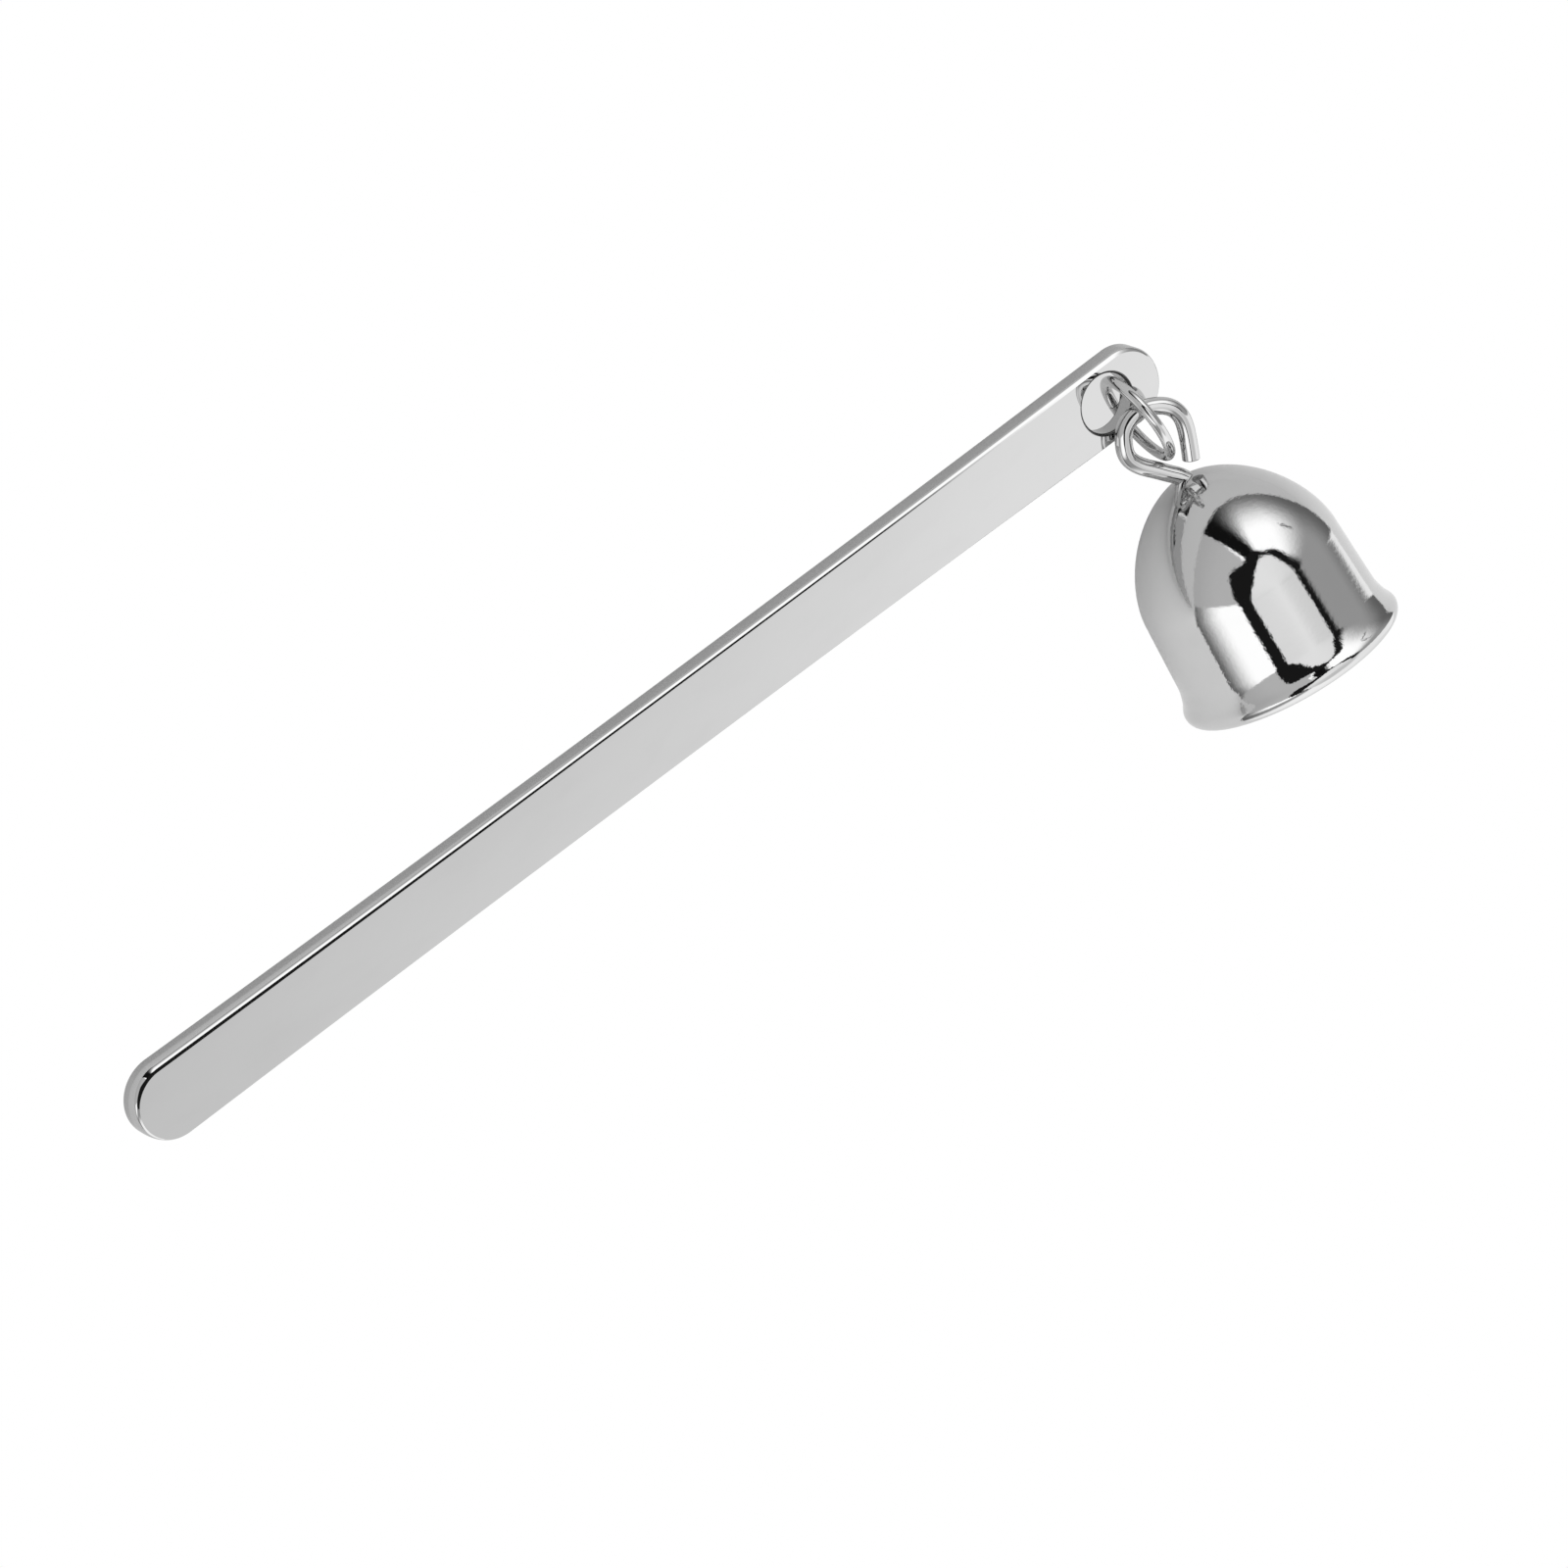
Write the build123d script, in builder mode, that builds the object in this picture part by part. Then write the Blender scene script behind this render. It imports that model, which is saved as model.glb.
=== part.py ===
"""Candle snuffer: a flat strip handle, a jump ring and a small bell on a wire hook.

Millimetres, +Z up.  The snuffer lies on a table at Z = 0, its handle along X, and the
origin is the middle of its footprint.
"""
import os
from math import asin, cos, pi, radians, sin, sqrt

from build123d import *

# Handle strip
handle_length = 160.0
tail_width = 10.1
head_width = 10.3
side_radius = 6450.0
strip_thickness = 2.7
front_edge_round = 0.65
back_edge_round = 0.25
hole_diameter = 7.6
hole_from_head = 8.5
hole_rim_round = 0.35

# Where the handle lies: tail down on the table, head held up by the ring
footprint_shift = 5.165
handle_y = 19.2
head_lift = 2.02

# Jump ring, and where round it the handle's hole and the hook's loop come
ring_radius = 5.85
ring_wire_radius = 0.7
ring_slit_angle = 1.2
full_turn = 360
ring_heading = 9.56
ring_lean = 9.03
wire_from_hole_centre = (1.8214, 1.7067, 0.0243)
hole_angle = 57.6825
loop_angle = 252.5352

# How the bell lies: shoulder down on the table, mouth lifted
bell_heading = -89.81
bell_tilt = 16.55
hook_roll = 22.6

# Bell
shoulder_radius = 13.5
shoulder_depth = 14.5
crown_power_share = 2 / 1.73
crown_points = 9
seat_radius = 1.6
wall_thickness = 1.6
waist_radius = 13.93
waist_depth = 23.3
flare_shares = [(0.241, 0.387), (0.643, 0.72)]
lip_radius = 15.05
lip_round = 1.35
lip_depth = 27.05
rim_face_width = 0.6
rim_inner_round = 0.4
ceiling_radius = 3.0
crown_thickness = 1.1

# Wire hook: its centre line and the ring's place in its loop are sideways and upwards
# from the crown point, in shares of the hook's height
hook_height = 10.45
hook_wire_radius = 1.1
hook_end_chamfer = 0.12
hook_lift = 7.0
ring_shares = (-0.0744, 0.3554)
hook_shares = [
    (0.0211, -0.0718),
    (-0.0115, -0.0191),
    (-0.0402, 0.0239),
    (-0.1167, 0.1081),
    (-0.2431, 0.2450),
    (-0.3885, 0.4038),
    (-0.4641, 0.5742),
    (-0.4096, 0.7847),
    (-0.3234, 0.9091),
    (-0.2201, 0.9713),
    (-0.0861, 1),
    (0.1435, 0.9330),
    (0.2679, 0.8230),
    (0.3158, 0.6794),
    (0.3033, 0.5359),
    (0.2632, 0.3923),
    (0.2105, 0.2392),
    (0.1703, 0.1340),
]

# Threaded stem of the hook, with its washer and nut
thread_radius = 1.0
thread_end_chamfer = 0.25
thread_overhang = 0.9
stem_hole_radius = 1.06
washer_radius = 2.5
washer_hole_radius = 1.1
washer_thickness = 0.4
washer_edge_round = 0.08
nut_sides = 6
nut_across_flats = 4.0
nut_thickness = 1.6
nut_bore_radius = 1.02
nut_corner_drop = 0.3
nut_bore_chamfer = 0.15


# Frame of the strip, from the middle of its tail end
hole_from_tail = handle_length - hole_from_head
handle_rise = asin(head_lift / hole_from_tail)
tail_x = -handle_length / 2 - footprint_shift
tail_z = (
    back_edge_round * (1 - sin(handle_rise))
    + (strip_thickness / 2 - back_edge_round) * cos(handle_rise)
)
strip_plane = Plane(
    origin=(tail_x, handle_y, tail_z),
    x_dir=(cos(handle_rise), 0, sin(handle_rise)),
    z_dir=(-sin(handle_rise), 0, cos(handle_rise)),
)

# Frame of the ring, hung in the handle's hole, its slit low down
ring_normal = Vector(
    cos(radians(ring_lean)) * cos(radians(ring_heading)),
    cos(radians(ring_lean)) * sin(radians(ring_heading)),
    sin(radians(ring_lean)),
)
ring_side = Vector(-sin(radians(ring_heading)), cos(radians(ring_heading)), 0)
ring_down = ring_side.cross(ring_normal)
wire_in_hole = strip_plane.from_local_coords((hole_from_tail, 0, 0)) + Vector(wire_from_hole_centre)
wire_axis = Axis(wire_in_hole, ring_normal)
ring_centre = wire_in_hole - ring_down.rotate(wire_axis, hole_angle) * ring_radius
ring_axis = Axis(ring_centre, ring_normal)
wire_in_loop = ring_centre + ring_down.rotate(ring_axis, loop_angle) * ring_radius
slit_side = ring_down.rotate(ring_axis, ring_slit_angle / 2)
ring_plane = Plane(origin=ring_centre, x_dir=slit_side, z_dir=ring_normal.cross(slit_side))

# Frames of the bell, from the top of its crown, which is where its loop holds the ring
bell_axis = Vector(
    cos(radians(bell_tilt)) * cos(radians(bell_heading)),
    cos(radians(bell_tilt)) * sin(radians(bell_heading)),
    sin(radians(bell_tilt)),
)
level_side = Vector(-sin(radians(bell_heading)), cos(radians(bell_heading)), 0)
loop_side = level_side.rotate(Axis(wire_in_loop, bell_axis), hook_roll)
loop_up = -bell_axis.rotate(Axis(wire_in_loop, loop_side), hook_lift)
crown_point = (
    wire_in_loop
    - loop_side * hook_height * ring_shares[0]
    - loop_up * hook_height * ring_shares[1]
)
turning_axis = Axis(crown_point, bell_axis)
bell_plane = Plane(origin=crown_point, x_dir=loop_side, z_dir=bell_axis)
profile_plane = Plane(origin=crown_point, x_dir=loop_side, z_dir=loop_side.cross(bell_axis))


# Handle
tail_radius = tail_width / 2
head_radius = head_width / 2
head_centre_x = handle_length - head_radius
tail_reach = side_radius + tail_radius
head_reach = side_radius + head_radius
side_centre_x = (tail_reach**2 - head_reach**2 + head_centre_x**2 - tail_radius**2) / (
    2 * (head_centre_x - tail_radius)
)
side_centre_y = sqrt(tail_reach**2 - (side_centre_x - tail_radius) ** 2)
tail_touch_share = tail_radius / tail_reach
tail_touch_x = tail_radius + (side_centre_x - tail_radius) * tail_touch_share
tail_touch_y = side_centre_y * tail_touch_share
head_touch_share = head_radius / head_reach
head_touch_x = head_centre_x + (side_centre_x - head_centre_x) * head_touch_share
head_touch_y = side_centre_y * head_touch_share
waist_half_width = side_centre_y - side_radius
strip_up = Axis(strip_plane.origin, strip_plane.z_dir)

with BuildPart() as handle:
    with BuildSketch(strip_plane):
        with BuildLine():
            ThreePointArc((tail_touch_x, tail_touch_y), (0, 0), (tail_touch_x, -tail_touch_y))
            ThreePointArc(
                (tail_touch_x, -tail_touch_y),
                (side_centre_x, -waist_half_width),
                (head_touch_x, -head_touch_y),
            )
            ThreePointArc(
                (head_touch_x, -head_touch_y), (handle_length, 0), (head_touch_x, head_touch_y)
            )
            ThreePointArc(
                (head_touch_x, head_touch_y),
                (side_centre_x, waist_half_width),
                (tail_touch_x, tail_touch_y),
            )
        make_face()
        with Locations((hole_from_tail, 0)):
            Circle(hole_diameter / 2, mode=Mode.SUBTRACT)
    extrude(amount=strip_thickness / 2, both=True)
    front_face = handle.faces().sort_by(strip_up)[-1]
    back_face = handle.faces().sort_by(strip_up)[0]
    fillet(front_face.outer_wire().edges(), radius=front_edge_round)
    fillet(back_face.outer_wire().edges(), radius=back_edge_round)
    hole_rims = handle.edges().filter_by(GeomType.CIRCLE).filter_by(
        lambda edge: abs(edge.radius - hole_diameter / 2) < hole_rim_round
    )
    fillet(hole_rims, radius=hole_rim_round)
handle.part.label = "handle"


# Jump ring: wire bent round until its two ends all but meet, low down and out of sight
with BuildPart() as jump_ring:
    with BuildSketch(ring_plane):
        with Locations((ring_radius, 0)):
            Circle(ring_wire_radius)
    revolve(axis=ring_axis, revolution_arc=full_turn - ring_slit_angle)
jump_ring.part.label = "jump_ring"


# Bell
def crown_curve(radius, height, first_radius):
    """Points of a round crown, from a first radius near its top out to its shoulder."""
    first = asin((first_radius / radius) ** (1 / crown_power_share))
    points = []
    for step in range(crown_points):
        angle = first + (pi / 2 - first) * step / (crown_points - 1)
        rise = height * abs(cos(angle)) ** crown_power_share
        points.append((radius * sin(angle) ** crown_power_share, shoulder_depth - rise))
    return points


def crown_start_slope(points):
    """Direction of a crown curve where it leaves its flat top."""
    return (points[1][0] - points[0][0], points[1][1] - points[0][1])


body_slope = (waist_radius - shoulder_radius, waist_depth - shoulder_depth)
outer_crown = crown_curve(shoulder_radius, shoulder_depth, seat_radius)
inner_shoulder_radius = shoulder_radius - wall_thickness
inner_height = shoulder_depth - crown_thickness
inner_crown = crown_curve(inner_shoulder_radius, inner_height, ceiling_radius)
seat_depth = outer_crown[0][1]
ceiling_depth = inner_crown[0][1]
flare_points = [
    (
        waist_radius + (lip_radius - waist_radius) * outward,
        waist_depth + (lip_depth - waist_depth) * along,
    )
    for outward, along in flare_shares
]
mouth_depth = lip_depth + lip_round
rim_outer_radius = lip_radius - lip_round
rim_inner_radius = rim_outer_radius - rim_face_width
mouth_radius = rim_inner_radius - rim_inner_round
corner_share = sqrt(1 / 2)

with BuildPart() as bell:
    with BuildSketch(profile_plane):
        with BuildLine():
            Line((stem_hole_radius, seat_depth), (seat_radius, seat_depth))
            Spline(outer_crown, tangents=[crown_start_slope(outer_crown), body_slope])
            Line((shoulder_radius, shoulder_depth), (waist_radius, waist_depth))
            Spline(
                [(waist_radius, waist_depth)] + flare_points + [(lip_radius, lip_depth)],
                tangents=[body_slope, (0, 1)],
            )
            ThreePointArc(
                (lip_radius, lip_depth),
                (rim_outer_radius + lip_round * corner_share, lip_depth + lip_round * corner_share),
                (rim_outer_radius, mouth_depth),
            )
            Line((rim_outer_radius, mouth_depth), (rim_inner_radius, mouth_depth))
            ThreePointArc(
                (rim_inner_radius, mouth_depth),
                (
                    rim_inner_radius - rim_inner_round * corner_share,
                    mouth_depth - rim_inner_round * (1 - corner_share),
                ),
                (mouth_radius, mouth_depth - rim_inner_round),
            )
            Spline(
                [
                    (mouth_radius, mouth_depth - rim_inner_round),
                    (waist_radius - wall_thickness, waist_depth),
                    (inner_shoulder_radius, shoulder_depth),
                ],
                tangents=[(0, -1), (-body_slope[0], -body_slope[1])],
            )
            Spline(inner_crown, tangents=[crown_start_slope(inner_crown), body_slope])
            Line((ceiling_radius, ceiling_depth), (stem_hole_radius, ceiling_depth))
            Line((stem_hole_radius, ceiling_depth), (stem_hole_radius, seat_depth))
        make_face()
    revolve(axis=turning_axis)
bell.part.label = "bell"


# Wire hook: a loop with a square-cut free end on a threaded stem
def hook_place(shares):
    """A centre-line point in the bell's frame, the loop leaning by the hook's lift."""
    sideways, upwards = (share * hook_height for share in shares)
    if upwards < 0:
        return (sideways, 0, -upwards)
    return (sideways, upwards * sin(radians(hook_lift)), -upwards * cos(radians(hook_lift)))


washer_top = ceiling_depth + washer_thickness
nut_top = washer_top + nut_thickness
thread_end = nut_top + thread_overhang
seat_plane = bell_plane.offset(seat_depth)
hook_line_places = [hook_place(shares) for shares in hook_shares]

with BuildPart() as eye_hook:
    with BuildLine(bell_plane) as hook_line:
        Spline(hook_line_places)
    with BuildSketch(Plane(origin=hook_line.line @ 0, z_dir=hook_line.line % 0)):
        Circle(hook_wire_radius)
    sweep()
    split(bisect_by=seat_plane, keep=Keep.BOTTOM)
    free_end = hook_line.line @ 1
    chamfer(eye_hook.faces().sort_by_distance(free_end)[0].edges(), length=hook_end_chamfer)
    with BuildSketch(seat_plane):
        Circle(thread_radius)
    extrude(amount=thread_end - seat_depth)
    chamfer(eye_hook.edges().sort_by(turning_axis)[-1], length=thread_end_chamfer)
eye_hook.part.label = "eye_hook"


# Washer
with BuildPart() as washer:
    with BuildSketch(bell_plane.offset(ceiling_depth)):
        Circle(washer_radius)
        Circle(washer_hole_radius, mode=Mode.SUBTRACT)
    extrude(amount=washer_thickness)
    fillet(washer.edges(), radius=washer_edge_round)
washer.part.label = "washer"


# Nut: hexagonal, its corners turned down at both ends
nut_corner_radius = nut_across_flats / 2 / cos(pi / nut_sides)
with BuildPart() as nut:
    with BuildSketch(bell_plane.offset(washer_top)):
        RegularPolygon(nut_across_flats / 2, nut_sides, major_radius=False)
    extrude(amount=nut_thickness)
    with BuildSketch(bell_plane.offset(washer_top)):
        Circle(nut_corner_radius)
    extrude(amount=nut_thickness, mode=Mode.INTERSECT)
    with BuildSketch(profile_plane):
        with BuildLine():
            Polyline(
                (0, washer_top),
                (nut_across_flats / 2, washer_top),
                (nut_corner_radius, washer_top + nut_corner_drop),
                (nut_corner_radius, nut_top - nut_corner_drop),
                (nut_across_flats / 2, nut_top),
                (0, nut_top),
                close=True,
            )
        make_face()
    revolve(axis=turning_axis, mode=Mode.INTERSECT)
    with BuildSketch(bell_plane.offset(washer_top)):
        Circle(nut_bore_radius)
    extrude(amount=nut_thickness, mode=Mode.SUBTRACT)
    bore_rims = nut.edges().filter_by(GeomType.CIRCLE).filter_by(
        lambda edge: abs(edge.radius - nut_bore_radius) < nut_bore_chamfer
    )
    chamfer(bore_rims, length=nut_bore_chamfer)
nut.part.label = "nut"


os.makedirs("parts", exist_ok=True)
export_step(handle.part, "parts/handle.step")
export_step(jump_ring.part, "parts/jump_ring.step")
export_step(bell.part, "parts/bell.step")
export_step(eye_hook.part, "parts/eye_hook.step")
export_step(washer.part, "parts/washer.step")
export_step(nut.part, "parts/nut.step")
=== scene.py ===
"""Chromed candle snuffer on a pale studio floor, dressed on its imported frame."""
import math

import bmesh
import bpy
import numpy as np
from bpy.props import FloatProperty, FloatVectorProperty, IntProperty, PointerProperty
from mathutils import Matrix, Vector


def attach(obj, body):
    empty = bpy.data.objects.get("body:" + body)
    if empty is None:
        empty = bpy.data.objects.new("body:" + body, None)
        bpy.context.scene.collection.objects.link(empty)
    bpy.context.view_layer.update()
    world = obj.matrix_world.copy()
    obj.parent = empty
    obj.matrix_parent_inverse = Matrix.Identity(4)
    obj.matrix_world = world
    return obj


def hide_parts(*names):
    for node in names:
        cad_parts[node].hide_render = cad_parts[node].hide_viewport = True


bl_info = {
    "name": "Candle snuffer",
    "version": (1, 0, 0),
    "blender": (4, 5, 0),
    "location": "3D View > Sidebar > Snuffer",
    "description": "Builds a chromed candle snuffer: strip handle, jump ring, bell and wire hook",
    "category": "Object",
}

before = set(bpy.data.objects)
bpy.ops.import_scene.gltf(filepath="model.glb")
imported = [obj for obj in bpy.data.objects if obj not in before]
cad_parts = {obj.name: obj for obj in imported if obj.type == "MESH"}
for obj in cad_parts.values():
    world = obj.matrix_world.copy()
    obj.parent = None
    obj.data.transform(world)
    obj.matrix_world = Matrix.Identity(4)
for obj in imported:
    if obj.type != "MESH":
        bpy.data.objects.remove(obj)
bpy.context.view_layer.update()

# Behaviour bodies of the record that the pieces move with
STRIP_BODY = "strip"
RING_BODY = "ring"
SNUFFER_BODY = "snuffer"


# Settings -------------------------------------------------------------------------------


def size(name, description, default):
    """A length in metres that a user may change."""
    return FloatProperty(
        name=name, description=description, default=default, min=0.0, precision=5, unit="LENGTH"
    )


def spot(name, description, default):
    """A place or a move in metres that a user may change."""
    return FloatVectorProperty(
        name=name,
        description=description,
        default=default,
        precision=5,
        subtype="TRANSLATION",
        unit="LENGTH",
    )


def turn(name, description, degrees):
    """An angle, given in degrees, that a user may change."""
    return FloatProperty(
        name=name, description=description, default=math.radians(degrees), unit="ROTATION"
    )


def count(name, description, default):
    """A number of mesh steps that a user may change."""
    return IntProperty(name=name, description=description, default=default, min=3)


def share(name, description, default):
    """A number from 0 to 1 that a user may change."""
    return FloatProperty(
        name=name, description=description, default=default, min=0.0, max=1.0, subtype="FACTOR"
    )


def colour(name, description, default):
    """A surface colour that a user may change."""
    return FloatVectorProperty(
        name=name, description=description, default=default, min=0.0, max=1.0, subtype="COLOR"
    )


class SNUFFER_PG_strip(bpy.types.PropertyGroup):
    """Sizes of the strip handle and how it lies."""

    length: size("Length", "Whole length of the strip", 0.160)
    tail_width: size("Tail width", "Width of the strip at its round tail", 0.0101)
    head_width: size("Head width", "Width of the strip at its holed head", 0.0103)
    side_radius: size("Side radius", "Radius of the long hollow sides", 6.450)
    thickness: size("Thickness", "Thickness of the strip", 0.0027)
    tail_depth: size("Tail depth", "Depth of the front edge's rounding at the tail", 0.0017)
    tail_spread: size("Tail spread", "How far the rounding spreads inwards at the tail", 0.0009)
    head_depth: size("Head depth", "Depth of the front edge's rounding at the head", 0.0006)
    head_spread: size("Head spread", "How far the rounding spreads inwards at the head", 0.0005)
    tail_bevel: size("Tail bevel", "Bevel between front and rounding at the tail", 0.0003)
    head_bevel: size("Head bevel", "Bevel between front and rounding at the head", 0.00015)
    tail_end: share("Tail's end", "Share of the strip along which the tail's edge fades", 0.45)
    far_share: share("Far side's share", "How much of all that the strip's far side has", 0.35)
    crease: turn("Crease", "Angle between the bevel and the flat front", 33)
    back_round: size("Back rounding", "Rounding of the back edge", 0.00025)
    hole_diameter: size("Hole", "Diameter of the hole in the head", 0.0076)
    hole_from_head: size("Hole from head", "From the head's end to the hole's centre", 0.0085)
    hole_round: size("Hole rounding", "Rounding of the hole's two rims", 0.00035)
    footprint_shift: size("Footprint shift", "From half way along to the origin", 0.005165)
    aside: size("Aside", "How far beside the origin the strip lies", 0.0192)
    head_lift: size("Head lift", "How far the hole is held above the tail", 0.00202)


class SNUFFER_PG_ring(bpy.types.PropertyGroup):
    """Sizes of the jump ring and how it hangs."""

    radius: size("Radius", "Radius of the ring's centre line", 0.00585)
    wire_radius: size("Wire radius", "Radius of the ring's wire", 0.0007)
    end_round: size("End rounding", "Rounding of the two cut ends", 0.00006)
    slit: turn("Slit", "Angle left open between the two ends", 1.2)
    heading: turn("Heading", "Compass angle of the ring's axis", 9.56)
    lean: turn("Lean", "How far the ring's axis leans up", 9.03)
    hole_angle: turn("Hole angle", "Where round the ring the handle's hole comes", 57.6825)
    loop_angle: turn("Loop angle", "Where round the ring the hook's loop comes", 252.5352)
    off_hole: spot(
        "Off the hole's centre",
        "From the hole's centre to the wire in it",
        (0.0018214, 0.0017067, 0.0000243),
    )


class SNUFFER_PG_bell(bpy.types.PropertyGroup):
    """Sizes of the bell and how it lies."""

    heading: turn("Heading", "Compass angle that the mouth faces", -89.81)
    tilt: turn("Tilt", "How far the mouth is lifted", 16.55)
    shoulder_radius: size("Shoulder radius", "Outer radius where the crown ends", 0.0135)
    shoulder_depth: size("Shoulder depth", "From the crown's top to the shoulder", 0.0145)
    crown_power: share("Crown fullness", "1 over the power of the crown's round", 1.73 / 2)
    seat_radius: size("Seat radius", "Radius of the flat under the hook", 0.0016)
    wall: size("Wall", "Thickness of the bell's wall", 0.0016)
    crown_wall: size("Crown wall", "Thickness of the crown at its top", 0.0011)
    waist_radius: size("Waist radius", "Outer radius where the flare starts", 0.01393)
    waist_depth: size("Waist depth", "From the crown's top to the flare", 0.0233)
    lip_radius: size("Lip radius", "Outer radius of the lip", 0.01505)
    lip_round: size("Lip rounding", "Rounding of the lip's outer edge", 0.00135)
    lip_depth: size("Lip depth", "From the crown's top to the widest place", 0.02705)
    rim_width: size("Rim width", "Width of the flat rim", 0.0006)
    rim_round: size("Rim rounding", "Rounding of the rim's inner edge", 0.0004)
    ceiling_radius: size("Ceiling radius", "Radius of the flat inside the crown", 0.003)
    stem_hole_radius: size("Stem hole radius", "Radius of the hole for the stem", 0.00106)


class SNUFFER_PG_hook(bpy.types.PropertyGroup):
    """Sizes of the wire hook with its threaded stem."""

    height: size("Height", "From the crown's top to the top of the loop", 0.01045)
    wire_radius: size("Wire radius", "Radius of the hook's wire", 0.0011)
    end_round: size("End rounding", "Rounding of the cut free end", 0.00012)
    lift: turn("Lift", "How far the loop leans up from the bell's axis", 7.0)
    roll: turn("Roll", "Turn of the loop about the bell's axis", 22.6)
    thread_radius: size("Thread radius", "Outer radius of the thread", 0.001)
    thread_depth: size("Thread depth", "Depth of the thread's groove", 0.00022)
    thread_pitch: size("Thread pitch", "Rise of one turn of the thread", 0.0004)
    thread_overhang: size("Thread overhang", "Stem left standing out of the nut", 0.0009)
    thread_chamfer: size("Thread chamfer", "Chamfer at the stem's end", 0.00025)


class SNUFFER_PG_fixing(bpy.types.PropertyGroup):
    """Sizes of the washer and the nut inside the bell."""

    washer_radius: size("Washer radius", "Outer radius of the washer", 0.0025)
    washer_hole: size("Washer hole", "Radius of the washer's hole", 0.0011)
    washer_thickness: size("Washer thickness", "Thickness of the washer", 0.0004)
    washer_round: size("Washer rounding", "Rounding of the washer's edges", 0.00008)
    nut_flats: size("Nut across flats", "Width of the nut across its flats", 0.004)
    nut_thickness: size("Nut thickness", "Thickness of the nut", 0.0016)
    nut_bore: size("Nut bore", "Radius of the nut's bore", 0.00102)
    nut_drop: size("Corner drop", "How far the nut's corners are turned down", 0.0003)
    nut_chamfer: size("Bore chamfer", "Chamfer of the nut's bore", 0.00015)


class SNUFFER_PG_finish(bpy.types.PropertyGroup):
    """Colours and polish of the metal."""

    chrome: colour("Chrome", "Colour of the plated metal", (0.60, 0.60, 0.60))
    steel: colour("Steel", "Colour of the washer and nut", (0.56, 0.57, 0.58))
    polish: share("Polish", "Roughness of the plated metal where it is cleanest", 0.02)
    haze: share("Haze", "Roughness added where the metal has been handled", 0.04)
    ripple_depth: size("Ripple depth", "Depth of the bell's ripple, that others follow", 0.0000080)
    ripple_length: size("Ripple length", "Length of the bell's ripple, that others follow", 0.0005)


class SNUFFER_PG_mesh(bpy.types.PropertyGroup):
    """How finely the pieces are meshed."""

    bell_steps: count("Bell steps", "Faces round the bell", 256)
    wire_sides: count("Wire sides", "Faces round a wire", 48)
    ring_steps: count("Ring steps", "Faces along the jump ring", 240)
    hook_steps: count("Hook steps", "Faces along the hook's wire", 340)
    outline_steps: count("Outline steps", "Faces round each end of the strip", 72)
    round_steps: count("Rounding steps", "Faces across a rounding", 12)
    thread_steps: count("Thread steps", "Faces along one turn of the thread", 12)


class SNUFFER_PG_stage(bpy.types.PropertyGroup):
    """The floor, the light and the camera."""

    floor_colour: colour("Floor", "Colour of the studio floor", (0.86, 0.86, 0.86))
    floor_seen: size("Floor in the plating", "How far out the plating shows the floor", 0.24)
    # The near floor is painted darker in the plating: a painted shade
    floor_far: share("Far floor", "Brightness in the plating of the floor's far side", 0.97)
    floor_near_shaded: share("Near floor", "Brightness in the plating of the camera's side", 0.76)
    floor_lift: share("Shadow lift", "Share of its light that the floor under the strip keeps", 0.6)
    hole_shade: share("Hole's shade", "Share of the light that comes up through the hole", 0.73)
    backdrop: colour("Backdrop", "Colour seen round the object", (1.0, 1.0, 1.0))
    distance: size("Camera distance", "From the camera to the point it aims at", 0.71247)
    azimuth: turn("Camera azimuth", "Compass angle of the camera", 125.898)
    elevation: turn("Camera elevation", "Angle of the camera above the floor", 51.343)
    roll: turn("Camera roll", "Turn of the picture about the line of sight", 112.968)
    aim: spot("Aim", "Spot at the middle of the picture", (0.00743, 0.00089, 0.0))
    lens: FloatProperty(
        name="Lens", description="Focal length of the camera", default=135.0, unit="CAMERA"
    )


class SNUFFER_PG_all(bpy.types.PropertyGroup):
    """Everything that a user may change."""

    strip: PointerProperty(type=SNUFFER_PG_strip)
    ring: PointerProperty(type=SNUFFER_PG_ring)
    bell: PointerProperty(type=SNUFFER_PG_bell)
    hook: PointerProperty(type=SNUFFER_PG_hook)
    fixing: PointerProperty(type=SNUFFER_PG_fixing)
    finish: PointerProperty(type=SNUFFER_PG_finish)
    mesh: PointerProperty(type=SNUFFER_PG_mesh)
    stage: PointerProperty(type=SNUFFER_PG_stage)


# Node trees written as sums ---------------------------------------------------------------

# The height straight above, in degrees, which is 1 in a Float Curve node
ZENITH = 90


def find_socket(sockets, key):
    """The socket in use that has this name or identifier."""
    for socket in sockets:
        if socket.enabled and key in (socket.name, socket.identifier):
            return socket
    raise KeyError(f"no socket {key} among {[socket.name for socket in sockets]}")


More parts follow.
